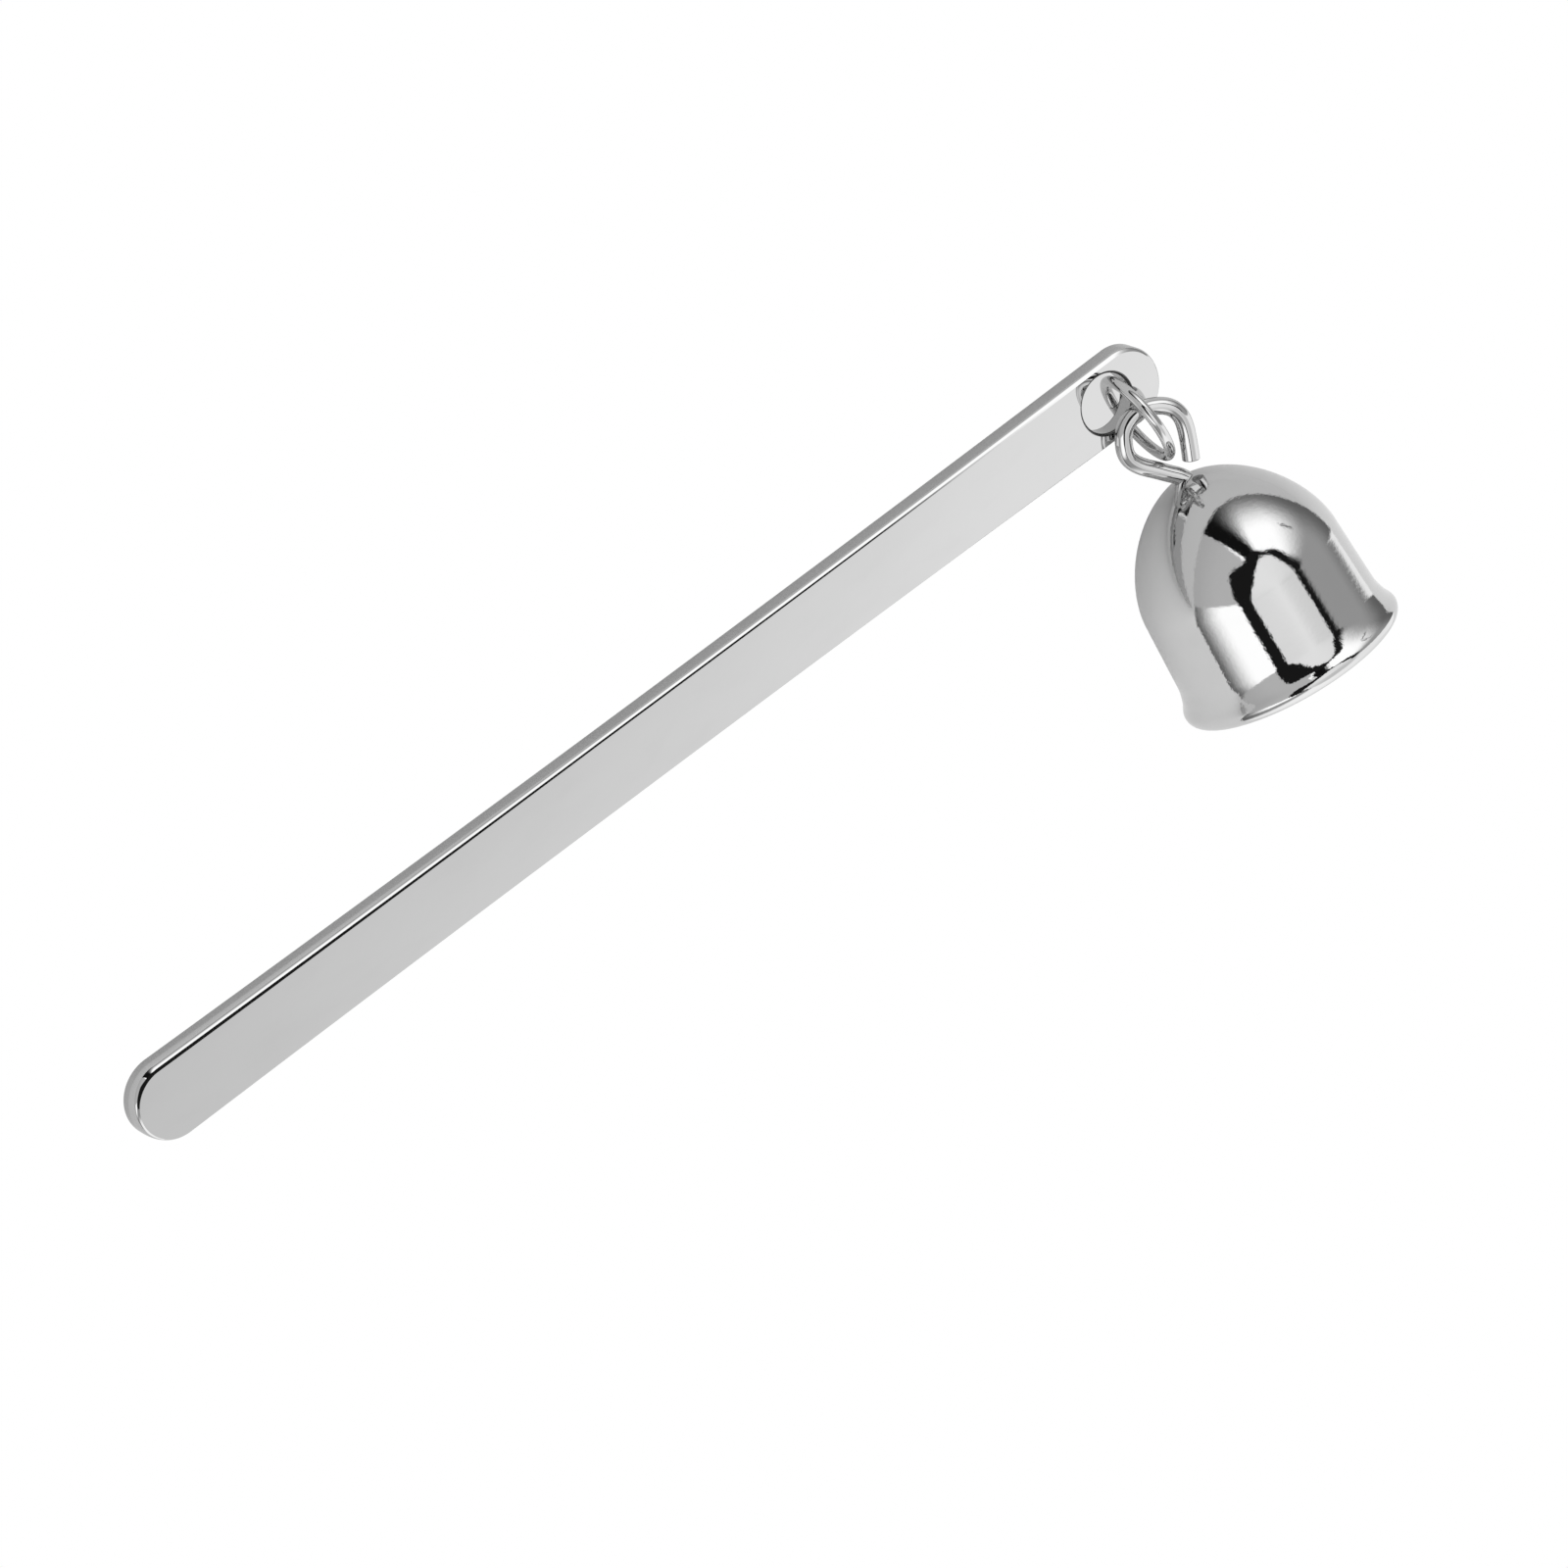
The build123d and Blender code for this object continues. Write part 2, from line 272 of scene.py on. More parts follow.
class Value:
    """A socket that carries a number: sums on it add Math nodes."""

    def __init__(self, tree, socket):
        self.tree = tree
        self.socket = socket

    def math(self, operation, *others):
        values = dict(enumerate((self,) + others))
        return self.tree.add("ShaderNodeMath", values, operation=operation)["Value"]

    def __add__(self, other):
        return self.math("ADD", other)

    def __sub__(self, other):
        return self.math("SUBTRACT", other)

    def __mul__(self, other):
        return self.math("MULTIPLY", other)

    def __truediv__(self, other):
        return self.math("DIVIDE", other)

    def __rsub__(self, other):
        return self * -1 + other

    __radd__ = __add__
    __rmul__ = __mul__

    def held(self, least, most):
        """This value, held between two others."""
        return self.math("MAXIMUM", least).math("MINIMUM", most)

    def rising(self, start, end):
        """0 below start, 1 above end, and smooth between them."""
        sockets = {"Value": self, "From Min": start, "From Max": end}
        ramp = self.tree.add("ShaderNodeMapRange", sockets, interpolation_type="SMOOTHSTEP")
        return ramp["Result"]

    def past(self, place, softness):
        """0 before a place and 1 past it, softened over this width."""
        return self.rising(place - softness / 2, place + softness / 2)

    def between(self, start, end, softness):
        """1 from start to end, both edges softened over this width."""
        return self.past(start, softness) * (1 - self.past(end, softness))


class Made:
    """A node that has been added: its outputs come back as values."""

    def __init__(self, tree, node):
        self.tree = tree
        self.node = node

    def __getitem__(self, key):
        return Value(self.tree, find_socket(self.node.outputs, key))


class Tree:
    """A node tree that nodes are added to by type, sockets and settings."""

    def __init__(self, tree):
        self.tree = tree
        tree.nodes.clear()

    def add(self, kind, sockets=None, **settings):
        node = self.tree.nodes.new(kind)
        for name, setting in settings.items():
            setattr(node, name, setting)
        for key, given in (sockets or {}).items():
            socket = node.inputs[key] if isinstance(key, int) else find_socket(node.inputs, key)
            if isinstance(given, Value):
                self.tree.links.new(given.socket, socket)
            else:
                socket.default_value = given
        return Made(self, node)

    def curve(self, value, points):
        """The height, in degrees, of the line through these points at a value."""
        first, last = points[0][0], points[-1][0]
        node = self.add("ShaderNodeFloatCurve", {"Value": (value - first) / (last - first)})
        mapping = node.node.mapping
        mapping.use_clip = False
        line = mapping.curves[0].points
        while len(line) < len(points):
            line.new(0.5, 0.5)
        for point, (at, height) in zip(line, points):
            point.location = ((at - first) / (last - first), height / ZENITH)
            point.handle_type = "VECTOR"
        mapping.update()
        return node["Value"] * ZENITH

    def mix(self, factor, first, second):
        """A colour between two colours."""
        sockets = {"Factor": factor, "A": first, "B": second}
        return self.add("ShaderNodeMix", sockets, data_type="RGBA")["Result"]

    def one_of(self, share_of_second, first, second):
        """A shader between two shaders."""
        sockets = {"Fac": share_of_second, 1: first, 2: second}
        return self.add("ShaderNodeMixShader", sockets)["Shader"]

    def noise(self, place, feature, detail=2.0, stretch=(1.0, 1.0, 1.0)):
        """A cloudy value from 0 to 1 whose features have this length in metres."""
        scale = tuple(part / feature for part in stretch)
        moved = self.add("ShaderNodeMapping", {"Vector": place, "Scale": scale})
        sockets = {"Vector": moved["Vector"], "Scale": 1.0, "Detail": detail}
        return self.add("ShaderNodeTexNoise", sockets)["Fac"]


# Places of the pieces ---------------------------------------------------------------------


def axes_matrix(x_axis, z_axis, origin):
    """The matrix that puts a piece drawn at the origin on these axes."""
    y_axis = z_axis.cross(x_axis)
    matrix = Matrix((x_axis, y_axis, z_axis)).transposed().to_4x4()
    matrix.translation = origin
    return matrix


def turned(way, angle, about):
    """A direction turned about another."""
    return Matrix.Rotation(angle, 3, about) @ way


def sideways(heading):
    """The level direction a quarter turn on from a compass angle."""
    return Vector((-math.sin(heading), math.cos(heading), 0))


def direction(heading, rise):
    """The direction at a compass angle that rises from the level by another angle."""
    level = Vector((math.cos(heading), math.sin(heading), 0))
    return level * math.cos(rise) + Vector((0, 0, math.sin(rise)))


def strip_place(settings):
    """Where the strip lies: its origin is the middle of its tail end."""
    strip = settings.strip
    rise = math.asin(strip.head_lift / (strip.length - strip.hole_from_head))
    along = Vector((math.cos(rise), 0, math.sin(rise)))
    up = Vector((-math.sin(rise), 0, math.cos(rise)))
    half = strip.thickness / 2 - strip.back_round
    tail_z = strip.back_round * (1 - math.sin(rise)) + half * math.cos(rise)
    tail_x = -strip.length / 2 - strip.footprint_shift
    return axes_matrix(along, up, Vector((tail_x, strip.aside, tail_z)))


def hole_centre(settings):
    """The middle of the handle's hole."""
    strip = settings.strip
    return strip_place(settings) @ Vector((strip.length - strip.hole_from_head, 0, 0))


def ring_place(settings):
    """Where the ring hangs: its axis is Z and its lowest point is on +X."""
    ring = settings.ring
    normal = direction(ring.heading, ring.lean)
    down = sideways(ring.heading).cross(normal)
    in_hole = hole_centre(settings) + Vector(ring.off_hole)
    towards_hole = turned(down, ring.hole_angle, normal)
    return axes_matrix(down, normal, in_hole - towards_hole * ring.radius)


def bell_place(settings):
    """Where the bell lies: Z runs from the crown's top to the mouth, the loop lies along X."""
    ring, bell, hook = settings.ring, settings.bell, settings.hook
    down_axis = direction(bell.heading, bell.tilt)
    side = turned(sideways(bell.heading), hook.roll, down_axis)
    loop_up = -turned(down_axis, hook.lift, side)
    ring_at = ring_place(settings)
    in_loop = turned(Vector((ring.radius, 0, 0)), ring.loop_angle, Vector((0, 0, 1)))
    off_side = side * hook.height * RING_IN_LOOP[0]
    off_up = loop_up * hook.height * RING_IN_LOOP[1]
    return axes_matrix(side, down_axis, ring_at @ in_loop - off_side - off_up)


# Outlines ---------------------------------------------------------------------------------

# The hook's centre line and the ring's place in its loop: sideways and upwards from the
# crown's top, in shares of the hook's height
RING_IN_LOOP = (-0.0744, 0.3554)
HOOK_LINE = (
    (0.0211, -0.0718), (-0.0115, -0.0191), (-0.0402, 0.0239),
    (-0.1167, 0.1081), (-0.2431, 0.2450), (-0.3885, 0.4038),
    (-0.4641, 0.5742), (-0.4096, 0.7847), (-0.3234, 0.9091),
    (-0.2201, 0.9713), (-0.0861, 1.0), (0.1435, 0.9330),
    (0.2679, 0.8230), (0.3158, 0.6794), (0.3033, 0.5359),
    (0.2632, 0.3923), (0.2105, 0.2392), (0.1703, 0.1340),
)

# Places on the bell's flare between its waist and its lip, outwards and along
FLARE_SHARES = ((0.241, 0.387), (0.643, 0.72))

# Steps along the parts of the bell's outline, down its outside and up its inside
CROWN_STEPS, SIDE_STEPS, FLARE_STEPS, LIP_STEPS = 110, 36, 44, 24
RIM_STEPS, INNER_SIDE_STEPS, INNER_CROWN_STEPS = 10, 46, 50

# Steps along the curve that the hook's line is taken from, and over the cut ends of wires
HOOK_CURVE_STEPS = 4000
RING_END_STEPS, HOOK_END_STEPS = 4, 5


def smooth_line(points, steps, start_slope=None, end_slope=None):
    """Points on a smooth curve through some points, with its end slopes where they are given."""
    points = np.array(points, float)
    gaps = np.linalg.norm(np.diff(points, axis=0), axis=1)
    knots = np.concatenate(([0.0], np.cumsum(gaps)))
    last = len(points) - 1
    rows = np.zeros((last + 1, last + 1))
    wanted = np.zeros_like(points)
    for k in range(1, last):
        rows[k, k - 1 : k + 2] = (1 / gaps[k - 1], 2 / gaps[k - 1] + 2 / gaps[k], 1 / gaps[k])
        before = (points[k] - points[k - 1]) / gaps[k - 1] ** 2
        after = (points[k + 1] - points[k]) / gaps[k] ** 2
        wanted[k] = 3 * (before + after)
    for k, near, slope in ((0, 1, start_slope), (last, last - 1, end_slope)):
        if slope is None:
            rows[k, k], rows[k, near] = 2, 1
            wanted[k] = 3 * (points[near] - points[k]) / (knots[near] - knots[k])
        else:
            rows[k, k] = 1
            wanted[k] = np.array(slope, float) / np.linalg.norm(slope)
    slopes = np.linalg.solve(rows, wanted)
    at = np.linspace(0, knots[-1], steps + 1)
    k = np.clip(np.searchsorted(knots, at, side="right") - 1, 0, last - 1)
    gap = gaps[k][:, None]
    t = (at - knots[k])[:, None] / gap
    return (
        points[k] * (1 + 2 * t) * (1 - t) ** 2
        + slopes[k] * gap * t * (1 - t) ** 2
        + points[k + 1] * t**2 * (3 - 2 * t)
        + slopes[k + 1] * gap * t**2 * (t - 1)
    )


def arc_line(centre, radius, start, end, steps):
    """Points on an arc between two angles in degrees."""
    angles = np.radians(np.linspace(start, end, steps + 1))
    return np.column_stack(
        (centre[0] + radius * np.cos(angles), centre[1] + radius * np.sin(angles))
    )


def crown_line(bell, radius, height, first_radius, steps):
    """Points down a crown, from its flat top to its shoulder, as radius and depth."""
    power = 1 / bell.crown_power
    first = math.asin((first_radius / radius) ** (1 / power))
    angles = np.linspace(first, math.pi / 2, steps + 1)
    rise = height * np.abs(np.cos(angles)) ** power
    return np.column_stack((radius * np.sin(angles) ** power, bell.shoulder_depth - rise))


def bell_crowns(bell):
    """The outer and the inner crown of the bell."""
    radius, height = bell.shoulder_radius, bell.shoulder_depth
    outer = crown_line(bell, radius, height, bell.seat_radius, CROWN_STEPS)
    radius, height = radius - bell.wall, height - bell.crown_wall
    inner = crown_line(bell, radius, height, bell.ceiling_radius, INNER_CROWN_STEPS)
    return outer, inner


def stem_levels(settings):
    """Depths of the seat, the ceiling, the washer's top, the nut's top and the stem's end."""
    outer, inner = bell_crowns(settings.bell)
    seat, ceiling = outer[0][1], inner[0][1]
    washer_top = ceiling + settings.fixing.washer_thickness
    nut_top = washer_top + settings.fixing.nut_thickness
    return seat, ceiling, washer_top, nut_top, nut_top + settings.hook.thread_overhang


def mouth_depth(bell):
    """From the crown's top to the flat rim at the mouth."""
    return bell.lip_depth + bell.lip_round


def bell_outline(bell):
    """The closed outline of the bell's wall, as radius and depth."""
    outer, inner = bell_crowns(bell)
    slope = (bell.waist_radius - bell.shoulder_radius, bell.waist_depth - bell.shoulder_depth)
    rim_outer = bell.lip_radius - bell.lip_round
    rim_inner = rim_outer - bell.rim_width
    edge_depth = mouth_depth(bell) - bell.rim_round
    waist = (bell.waist_radius, bell.waist_depth)
    flare = [
        (
            bell.waist_radius + (bell.lip_radius - bell.waist_radius) * outward,
            bell.waist_depth + (bell.lip_depth - bell.waist_depth) * along,
        )
        for outward, along in FLARE_SHARES
    ]
    lip = (bell.lip_radius, bell.lip_depth)
    inner_side = [
        (rim_inner - bell.rim_round, edge_depth),
        (bell.waist_radius - bell.wall, bell.waist_depth),
        tuple(inner[-1]),
    ]
    return np.concatenate(
        (
            [(bell.stem_hole_radius, outer[0][1])],
            outer,
            smooth_line((outer[-1], waist), SIDE_STEPS, slope, slope)[1:],
            smooth_line([waist] + flare + [lip], FLARE_STEPS, slope, (0, 1))[1:],
            arc_line((rim_outer, bell.lip_depth), bell.lip_round, 0, 90, LIP_STEPS)[1:],
            arc_line((rim_inner, edge_depth), bell.rim_round, 90, 180, RIM_STEPS),
            smooth_line(inner_side, INNER_SIDE_STEPS, (0, -1), (-slope[0], -slope[1]))[1:],
            inner[-2::-1],
            [(bell.stem_hole_radius, inner[0][1]), (bell.stem_hole_radius, outer[0][1])],
        )
    )


def end_distances(length, end_round, steps, round_steps):
    """Distances along a wire, closer together over the rounding at each end."""
    angles = np.linspace(0, math.pi / 2, round_steps + 1)
    start = end_round * (1 - np.cos(angles))
    middle = np.linspace(end_round, length - end_round, steps + 1)[1:-1]
    return np.concatenate((start, middle, length - start[::-1]))


def travelled(line):
    """How far along a line of points each of them comes."""
    gaps = np.linalg.norm(np.diff(line, axis=0), axis=1)
    return np.concatenate(([0.0], np.cumsum(gaps)))


def along_line(line, distances):
    """Points at these distances along a line of many points."""
    so_far = travelled(line)
    return np.column_stack([np.interp(distances, so_far, line[:, k]) for k in range(3)])


# Geometry Nodes: wires, turned shapes and threads -------------------------------------------

# Points nearer than this, in metres, become one
MERGE_DISTANCE = 2e-7

# The thread's ridge: how steep its flanks are, and where its top is cut flat
FLANK_SLOPE, RIDGE_TOP = 1.25, 0.85

# Edges are sharp where the faces meet at more than this many degrees
SHARP_FROM, NUT_SHARP_FROM = 40, 25


def new_tree(name, lengths, numbers):
    """A Geometry Nodes tree that takes a line, these lengths and whole numbers, and a metal."""
    group = bpy.data.node_groups.new(name, "GeometryNodeTree")
    kinds = {"Line": "Geometry"}
    kinds |= dict.fromkeys(lengths, "Float")
    kinds |= dict.fromkeys(numbers, "Int")
    kinds["Metal"] = "Material"
    for label, kind in kinds.items():
        group.interface.new_socket(name=label, in_out="INPUT", socket_type="NodeSocket" + kind)
    group.interface.new_socket(name="Piece", in_out="OUTPUT", socket_type="NodeSocketGeometry")
    tree = Tree(group)
    return group, tree, tree.add("NodeGroupInput")


def end_tree(tree, geometry, material):
    """Ends a tree as the export needs it, with its material set."""
    whole = tree.add("GeometryNodeRealizeInstances", {"Geometry": geometry})["Geometry"]
    sockets = {"Geometry": whole, "Material": material}
    dressed = tree.add("GeometryNodeSetMaterial", sockets)["Geometry"]
    tree.add("NodeGroupOutput", {"Piece": dressed})


def wire_tree():
    """Round wire along a line, its two ends rounded."""
    group, tree, given = new_tree("wire_along_line", ("Wire radius", "End rounding"), ("Sides",))
    path = tree.add("GeometryNodeMeshToCurve", {"Mesh": given["Line"]})["Curve"]
    so_far = tree.add("GeometryNodeSplineParameter")["Length"]
    from_end = so_far.math("MINIMUM", tree.add("GeometryNodeSplineLength")["Length"] - so_far)
    left = (1 - from_end / given["End rounding"]).math("MAXIMUM", 0.0)
    inward = 1 - (1 - left * left).math("MAXIMUM", 0.0).math("SQRT")
    radius = given["Wire radius"] - given["End rounding"] * inward
    sockets = {"Resolution": given["Sides"], "Radius": 1.0}
    section = tree.add("GeometryNodeCurvePrimitiveCircle", sockets, mode="RADIUS")["Curve"]
    sockets = {"Curve": path, "Profile Curve": section, "Scale": radius, "Fill Caps": True}
    swept = tree.add("GeometryNodeCurveToMesh", sockets)["Mesh"]
    end_tree(tree, swept, given["Metal"])
    return group


def grid_of(tree, columns, rows):
    """A grid to be bent into shape, with each corner's column and row."""
    sockets = {"Size X": columns, "Size Y": rows, "Vertices X": columns + 1, "Vertices Y": rows + 1}
    grid = tree.add("GeometryNodeMeshGrid", sockets)["Mesh"]
    place = tree.add("GeometryNodeInputPosition")["Position"]
    parts = tree.add("ShaderNodeSeparateXYZ", {"Vector": place})
    column = (parts["X"] + columns / 2).math("ROUND")
    row = (parts["Y"] + rows / 2).math("ROUND")
    return grid, column, row


def bend_round(tree, grid, share_round, radius, depth):
    """Bends a grid round the Z axis and closes its seams and poles."""
    angle = share_round * math.tau
    across = {"X": radius * angle.math("COSINE"), "Y": radius * angle.math("SINE"), "Z": depth}
    place = tree.add("ShaderNodeCombineXYZ", across)["Vector"]
    bent = tree.add("GeometryNodeSetPosition", {"Geometry": grid, "Position": place})
    sockets = {"Geometry": bent["Geometry"], "Distance": MERGE_DISTANCE}
    return tree.add("GeometryNodeMergeByDistance", sockets)["Geometry"]


def turned_tree():
    """A shape turned about the Z axis from an outline of radius and depth."""
    numbers = ("Steps round", "Outline points")
    group, tree, given = new_tree("turned_from_outline", (), numbers)
    steps = given["Steps round"]
    grid, column, row = grid_of(tree, steps, given["Outline points"] - 1)
    place = tree.add("GeometryNodeInputPosition")["Position"]
    sockets = {"Geometry": given["Line"], "Value": place, "Index": row}
    sampled = tree.add("GeometryNodeSampleIndex", sockets, data_type="FLOAT_VECTOR")["Value"]
    parts = tree.add("ShaderNodeSeparateXYZ", {"Vector": sampled})
    bent = bend_round(tree, grid, column / steps, parts["X"], parts["Z"])
    end_tree(tree, bent, given["Metal"])
    return group


def thread_tree():
    """A threaded stem: a spiral ridge on a core, chamfered at its far end."""
    lengths = ("Start", "End", "Thread radius", "Groove depth", "Pitch", "Chamfer")
    group, tree, given = new_tree("threaded_stem", lengths, ("Steps round", "Rows"))
    steps, rows = given["Steps round"], given["Rows"]
    grid, column, row = grid_of(tree, steps, rows)
    inside = row.math("GREATER_THAN", 0.5) * row.math("LESS_THAN", rows - 0.5)
    depth = given["Start"] + (given["End"] - given["Start"]) * ((row - 1) / (rows - 2)).held(0, 1)
    turns = (depth / given["Pitch"] - column / steps).math("FRACT")
    ridge = (1 - (turns * 2 - 1).math("ABSOLUTE") * FLANK_SLOPE).held(0, RIDGE_TOP)
    radius = given["Thread radius"] - given["Groove depth"] * (1 - ridge / RIDGE_TOP)
    at_end = given["Thread radius"] - given["Chamfer"] + (given["End"] - depth)
    radius = radius.math("MINIMUM", at_end) * inside
    bent = bend_round(tree, grid, column / steps, radius, depth)
    end_tree(tree, bent, given["Metal"])
    return group


def new_object(name, data):
    """A new object in the scene."""
    made = bpy.data.objects.new(name, data)
    bpy.context.scene.collection.objects.link(made)
    return made


def shape_of(*meshes):
    """One shape, to be edited, of all that some meshes hold."""
    shape = bmesh.new()
    for mesh in meshes:
        shape.from_mesh(mesh)
    return shape


def pour(shape, mesh):
    """Makes a closed shape's faces point outwards and puts the shape into a mesh."""
    bmesh.ops.recalc_face_normals(shape, faces=shape.faces)
    if shape.calc_volume(signed=True) < 0:
        bmesh.ops.reverse_faces(shape, faces=shape.faces)
    shape.to_mesh(mesh)
    shape.free()
    return mesh


def grown_mesh(name, make_tree, line, inputs, place):
    """Runs a tree on a line of points and returns what it grows as a plain mesh in its place."""
    mesh = bpy.data.meshes.new(name)
    edges = [(k, k + 1) for k in range(len(line) - 1)]
    mesh.from_pydata([tuple(map(float, point)) for point in line], edges, [])
    holder = new_object(name, mesh)
    group = make_tree()
    modifier = holder.modifiers.new(name, "NODES")
    modifier.node_group = group
    for item in group.interface.items_tree:
        if item.in_out == "INPUT" and item.name in inputs:
            modifier[item.identifier] = inputs[item.name]
    graph = bpy.context.evaluated_depsgraph_get()
    grown = bpy.data.meshes.new_from_object(holder.evaluated_get(graph), depsgraph=graph)
    holder.modifiers.clear()
    bpy.data.objects.remove(holder)
    bpy.data.meshes.remove(mesh)
    bpy.data.node_groups.remove(group)
    if not grown.polygons:
        raise RuntimeError(f"{name} came out with no faces")
    grown.materials.clear()
    grown.materials.append(inputs["Metal"])
    grown.polygons.foreach_set("material_index", [0] * len(grown.polygons))
    pour(shape_of(grown), grown)
    grown.transform(place)
    return grown


def wire_mesh(settings, name, wire, line, metal, place):
    """The mesh of a wire along a line, from the wire's own settings."""
    inputs = {
        "Wire radius": wire.wire_radius,
        "End rounding": wire.end_round,
        "Sides": settings.mesh.wire_sides,
        "Metal": metal,
    }
    return grown_mesh(name, wire_tree, line, inputs, place)


def turned_mesh(name, outline, steps, metal, place):
    """The mesh of a turned piece, from its outline and its steps round."""
    line = np.column_stack((outline[:, 0], 0 * outline[:, 0], outline[:, 1]))
    inputs = {"Steps round": steps, "Outline points": len(line), "Metal": metal}
    return grown_mesh(name, turned_tree, line, inputs, place)


def shade(mesh, sharp_from=SHARP_FROM):
    """Smooth shading, with sharp edges where the faces meet at more than this angle."""
    mesh.shade_smooth()
    mesh.set_sharp_from_angle(angle=math.radians(sharp_from))


def finish_piece(name, mesh, node, body):
    """Sets a finished piece in the scene in place of its solid."""
    old = bpy.data.objects.get(name)
    if old is not None:
        bpy.data.objects.remove(old)
    mesh.name = name
    piece = new_object(name, mesh)
    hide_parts(node)
    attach(piece, body)


class Maker:
    """What the operators share: each makes something from the scene's settings."""

    def execute(self, context):
        self.make(context.scene.snuffer)
        return {"FINISHED"}


# Strip ------------------------------------------------------------------------------------

# Faces of the strip's edge that slant less than this take its duller plating, painted darker as
# shade
SHADED_EDGE_SLANT = math.radians(15)

# How many degrees steeper the crease is round the tail, by the degrees turned from the long
# side towards the tail's end: one dark line then runs on round the bend
TAIL_CREASE = ((0, 0), (2, 3), (8, 6), (36, 6), (44, 4), (56, 0), (62, -5), (68, -10), (90, -13))

# How near to the front's own direction a face's must be for the face to be part of a flat
FLAT = 0.99999

# The strip's finishes by their place among its materials
POLISHED, STAMPED_PAINTED_SHADE, DRILLED_RIM_PAINTED_DARK = range(3)


def strip_outline(strip, steps):
    """Points round the strip's outline, and the directions straight out of it there."""
    tail, head = strip.tail_width / 2, strip.head_width / 2
    head_x = strip.length - head
    tail_reach, head_reach = strip.side_radius + tail, strip.side_radius + head
    side_x = (tail_reach**2 - head_reach**2 + head_x**2 - tail**2) / (2 * (head_x - tail))
    side_y = math.sqrt(tail_reach**2 - (side_x - tail) ** 2)
    tail_angle = math.atan2(side_y, side_x - tail)
    head_angle = math.atan2(side_y, head_x - side_x)
    places, directions = [], []
    for centre, radius, start, end, number, outward in (
        ((tail, 0), tail, tail_angle, math.tau - tail_angle, steps, 1),
        ((side_x, -side_y), strip.side_radius, math.pi - tail_angle, head_angle, 2 * steps, -1),
        ((head_x, 0), head, head_angle - math.pi, math.pi - head_angle, steps, 1),
        ((side_x, side_y), strip.side_radius, -head_angle, tail_angle - math.pi, 2 * steps, -1),
    ):
        angles = np.linspace(start, end, number, endpoint=False)
        out = np.column_stack((np.cos(angles), np.sin(angles)))
        places.append(np.array(centre) + radius * out)
        directions.append(outward * out)
    return np.concatenate(places), np.concatenate(directions)


def rounded_edges(thickness, spreads, depths, bevels, crease, back_round, steps):
    """Insets, heights and slants of each loop from a plate's front, over its edge, to its back.

    The front rounding is part of an ellipse that runs on into the bevel.
    """
    same = np.ones(len(spreads))
    loops = [(spreads, same * thickness / 2, same * (math.pi / 2 - crease))]
    drops = bevels * np.tan(crease)
    top = thickness / 2 - drops
    spreads, depths = spreads - bevels, depths - drops
    steepness = np.tan(crease) * spreads / depths
    ends = np.arccos(steepness / (1 - steepness))
    inwards, upwards = spreads / (1 - np.cos(ends)), depths / np.sin(ends)
    for part in np.linspace(1, 0, steps + 1):
        angles = ends * part
        heights = top - depths + upwards * np.sin(angles)
        slants = np.arctan2(inwards * np.sin(angles), upwards * np.cos(angles))
        loops.append((inwards * (1 - np.cos(angles)), heights, slants))
    for angle in np.linspace(0, math.pi / 2, steps // 2 + 1):
        height = back_round * (1 - math.sin(angle)) - thickness / 2
        loops.append((same * back_round * (1 - math.cos(angle)), same * height, same * -angle))
    return loops


def strip_edge(settings, outline, outward):
    """The loops over the strip's edge: its rounding is deepest at the tail's near side."""
    strip = settings.strip
    fading = (0, strip.tail_end * strip.length)
    spreads, depths, bevels = (
        np.interp(outline[:, 0], fading, tail_and_head)
        for tail_and_head in (
            (strip.tail_spread, strip.head_spread),
            (strip.tail_depth, strip.head_depth),
            (strip.tail_bevel, strip.head_bevel),
        )
    )
    near_share = 1 - (1 - strip.far_share) * (1 - outward[:, 1]) / 2
    spreads, bevels = spreads * near_share, bevels * near_share
    turned_in = np.degrees(np.arcsin(np.clip(-outward[:, 0], 0, 1)))
    crease = strip.crease + np.radians(np.interp(turned_in, *zip(*TAIL_CREASE)))
    steps = settings.mesh.round_steps
    return rounded_edges(strip.thickness, spreads, depths, bevels, crease, strip.back_round, steps)


def add_wall(shape, normals, places, outward, loops, round_finish):
    """Adds the faces from a plate's front round to its back and notes their exact normals.

    Returns the points along the front and along the back.
    """
    rows = []
    for insets, heights, slants in loops:
        row = []
        for place, out, inset, height, slant in zip(places, outward, insets, heights, slants):
            x, y = place - out * inset
            row.append(shape.verts.new((x, y, height)))
            normals.append((*(out * math.cos(slant)), math.sin(slant)))
        rows.append(row)
    for level, (upper, lower) in enumerate(zip(rows, rows[1:])):
        steepest = max(abs(loops[level][2]).max(), abs(loops[level + 1][2]).max())
        for k in range(len(upper)):
            face = shape.faces.new((upper[k - 1], upper[k], lower[k], lower[k - 1]))
            # Faces that slant little, the side walls, take the edge plating painted darker as shade
            face.material_index = STAMPED_PAINTED_SHADE if steepest < SHADED_EDGE_SLANT else round_finish
    return rows[0], rows[-1]


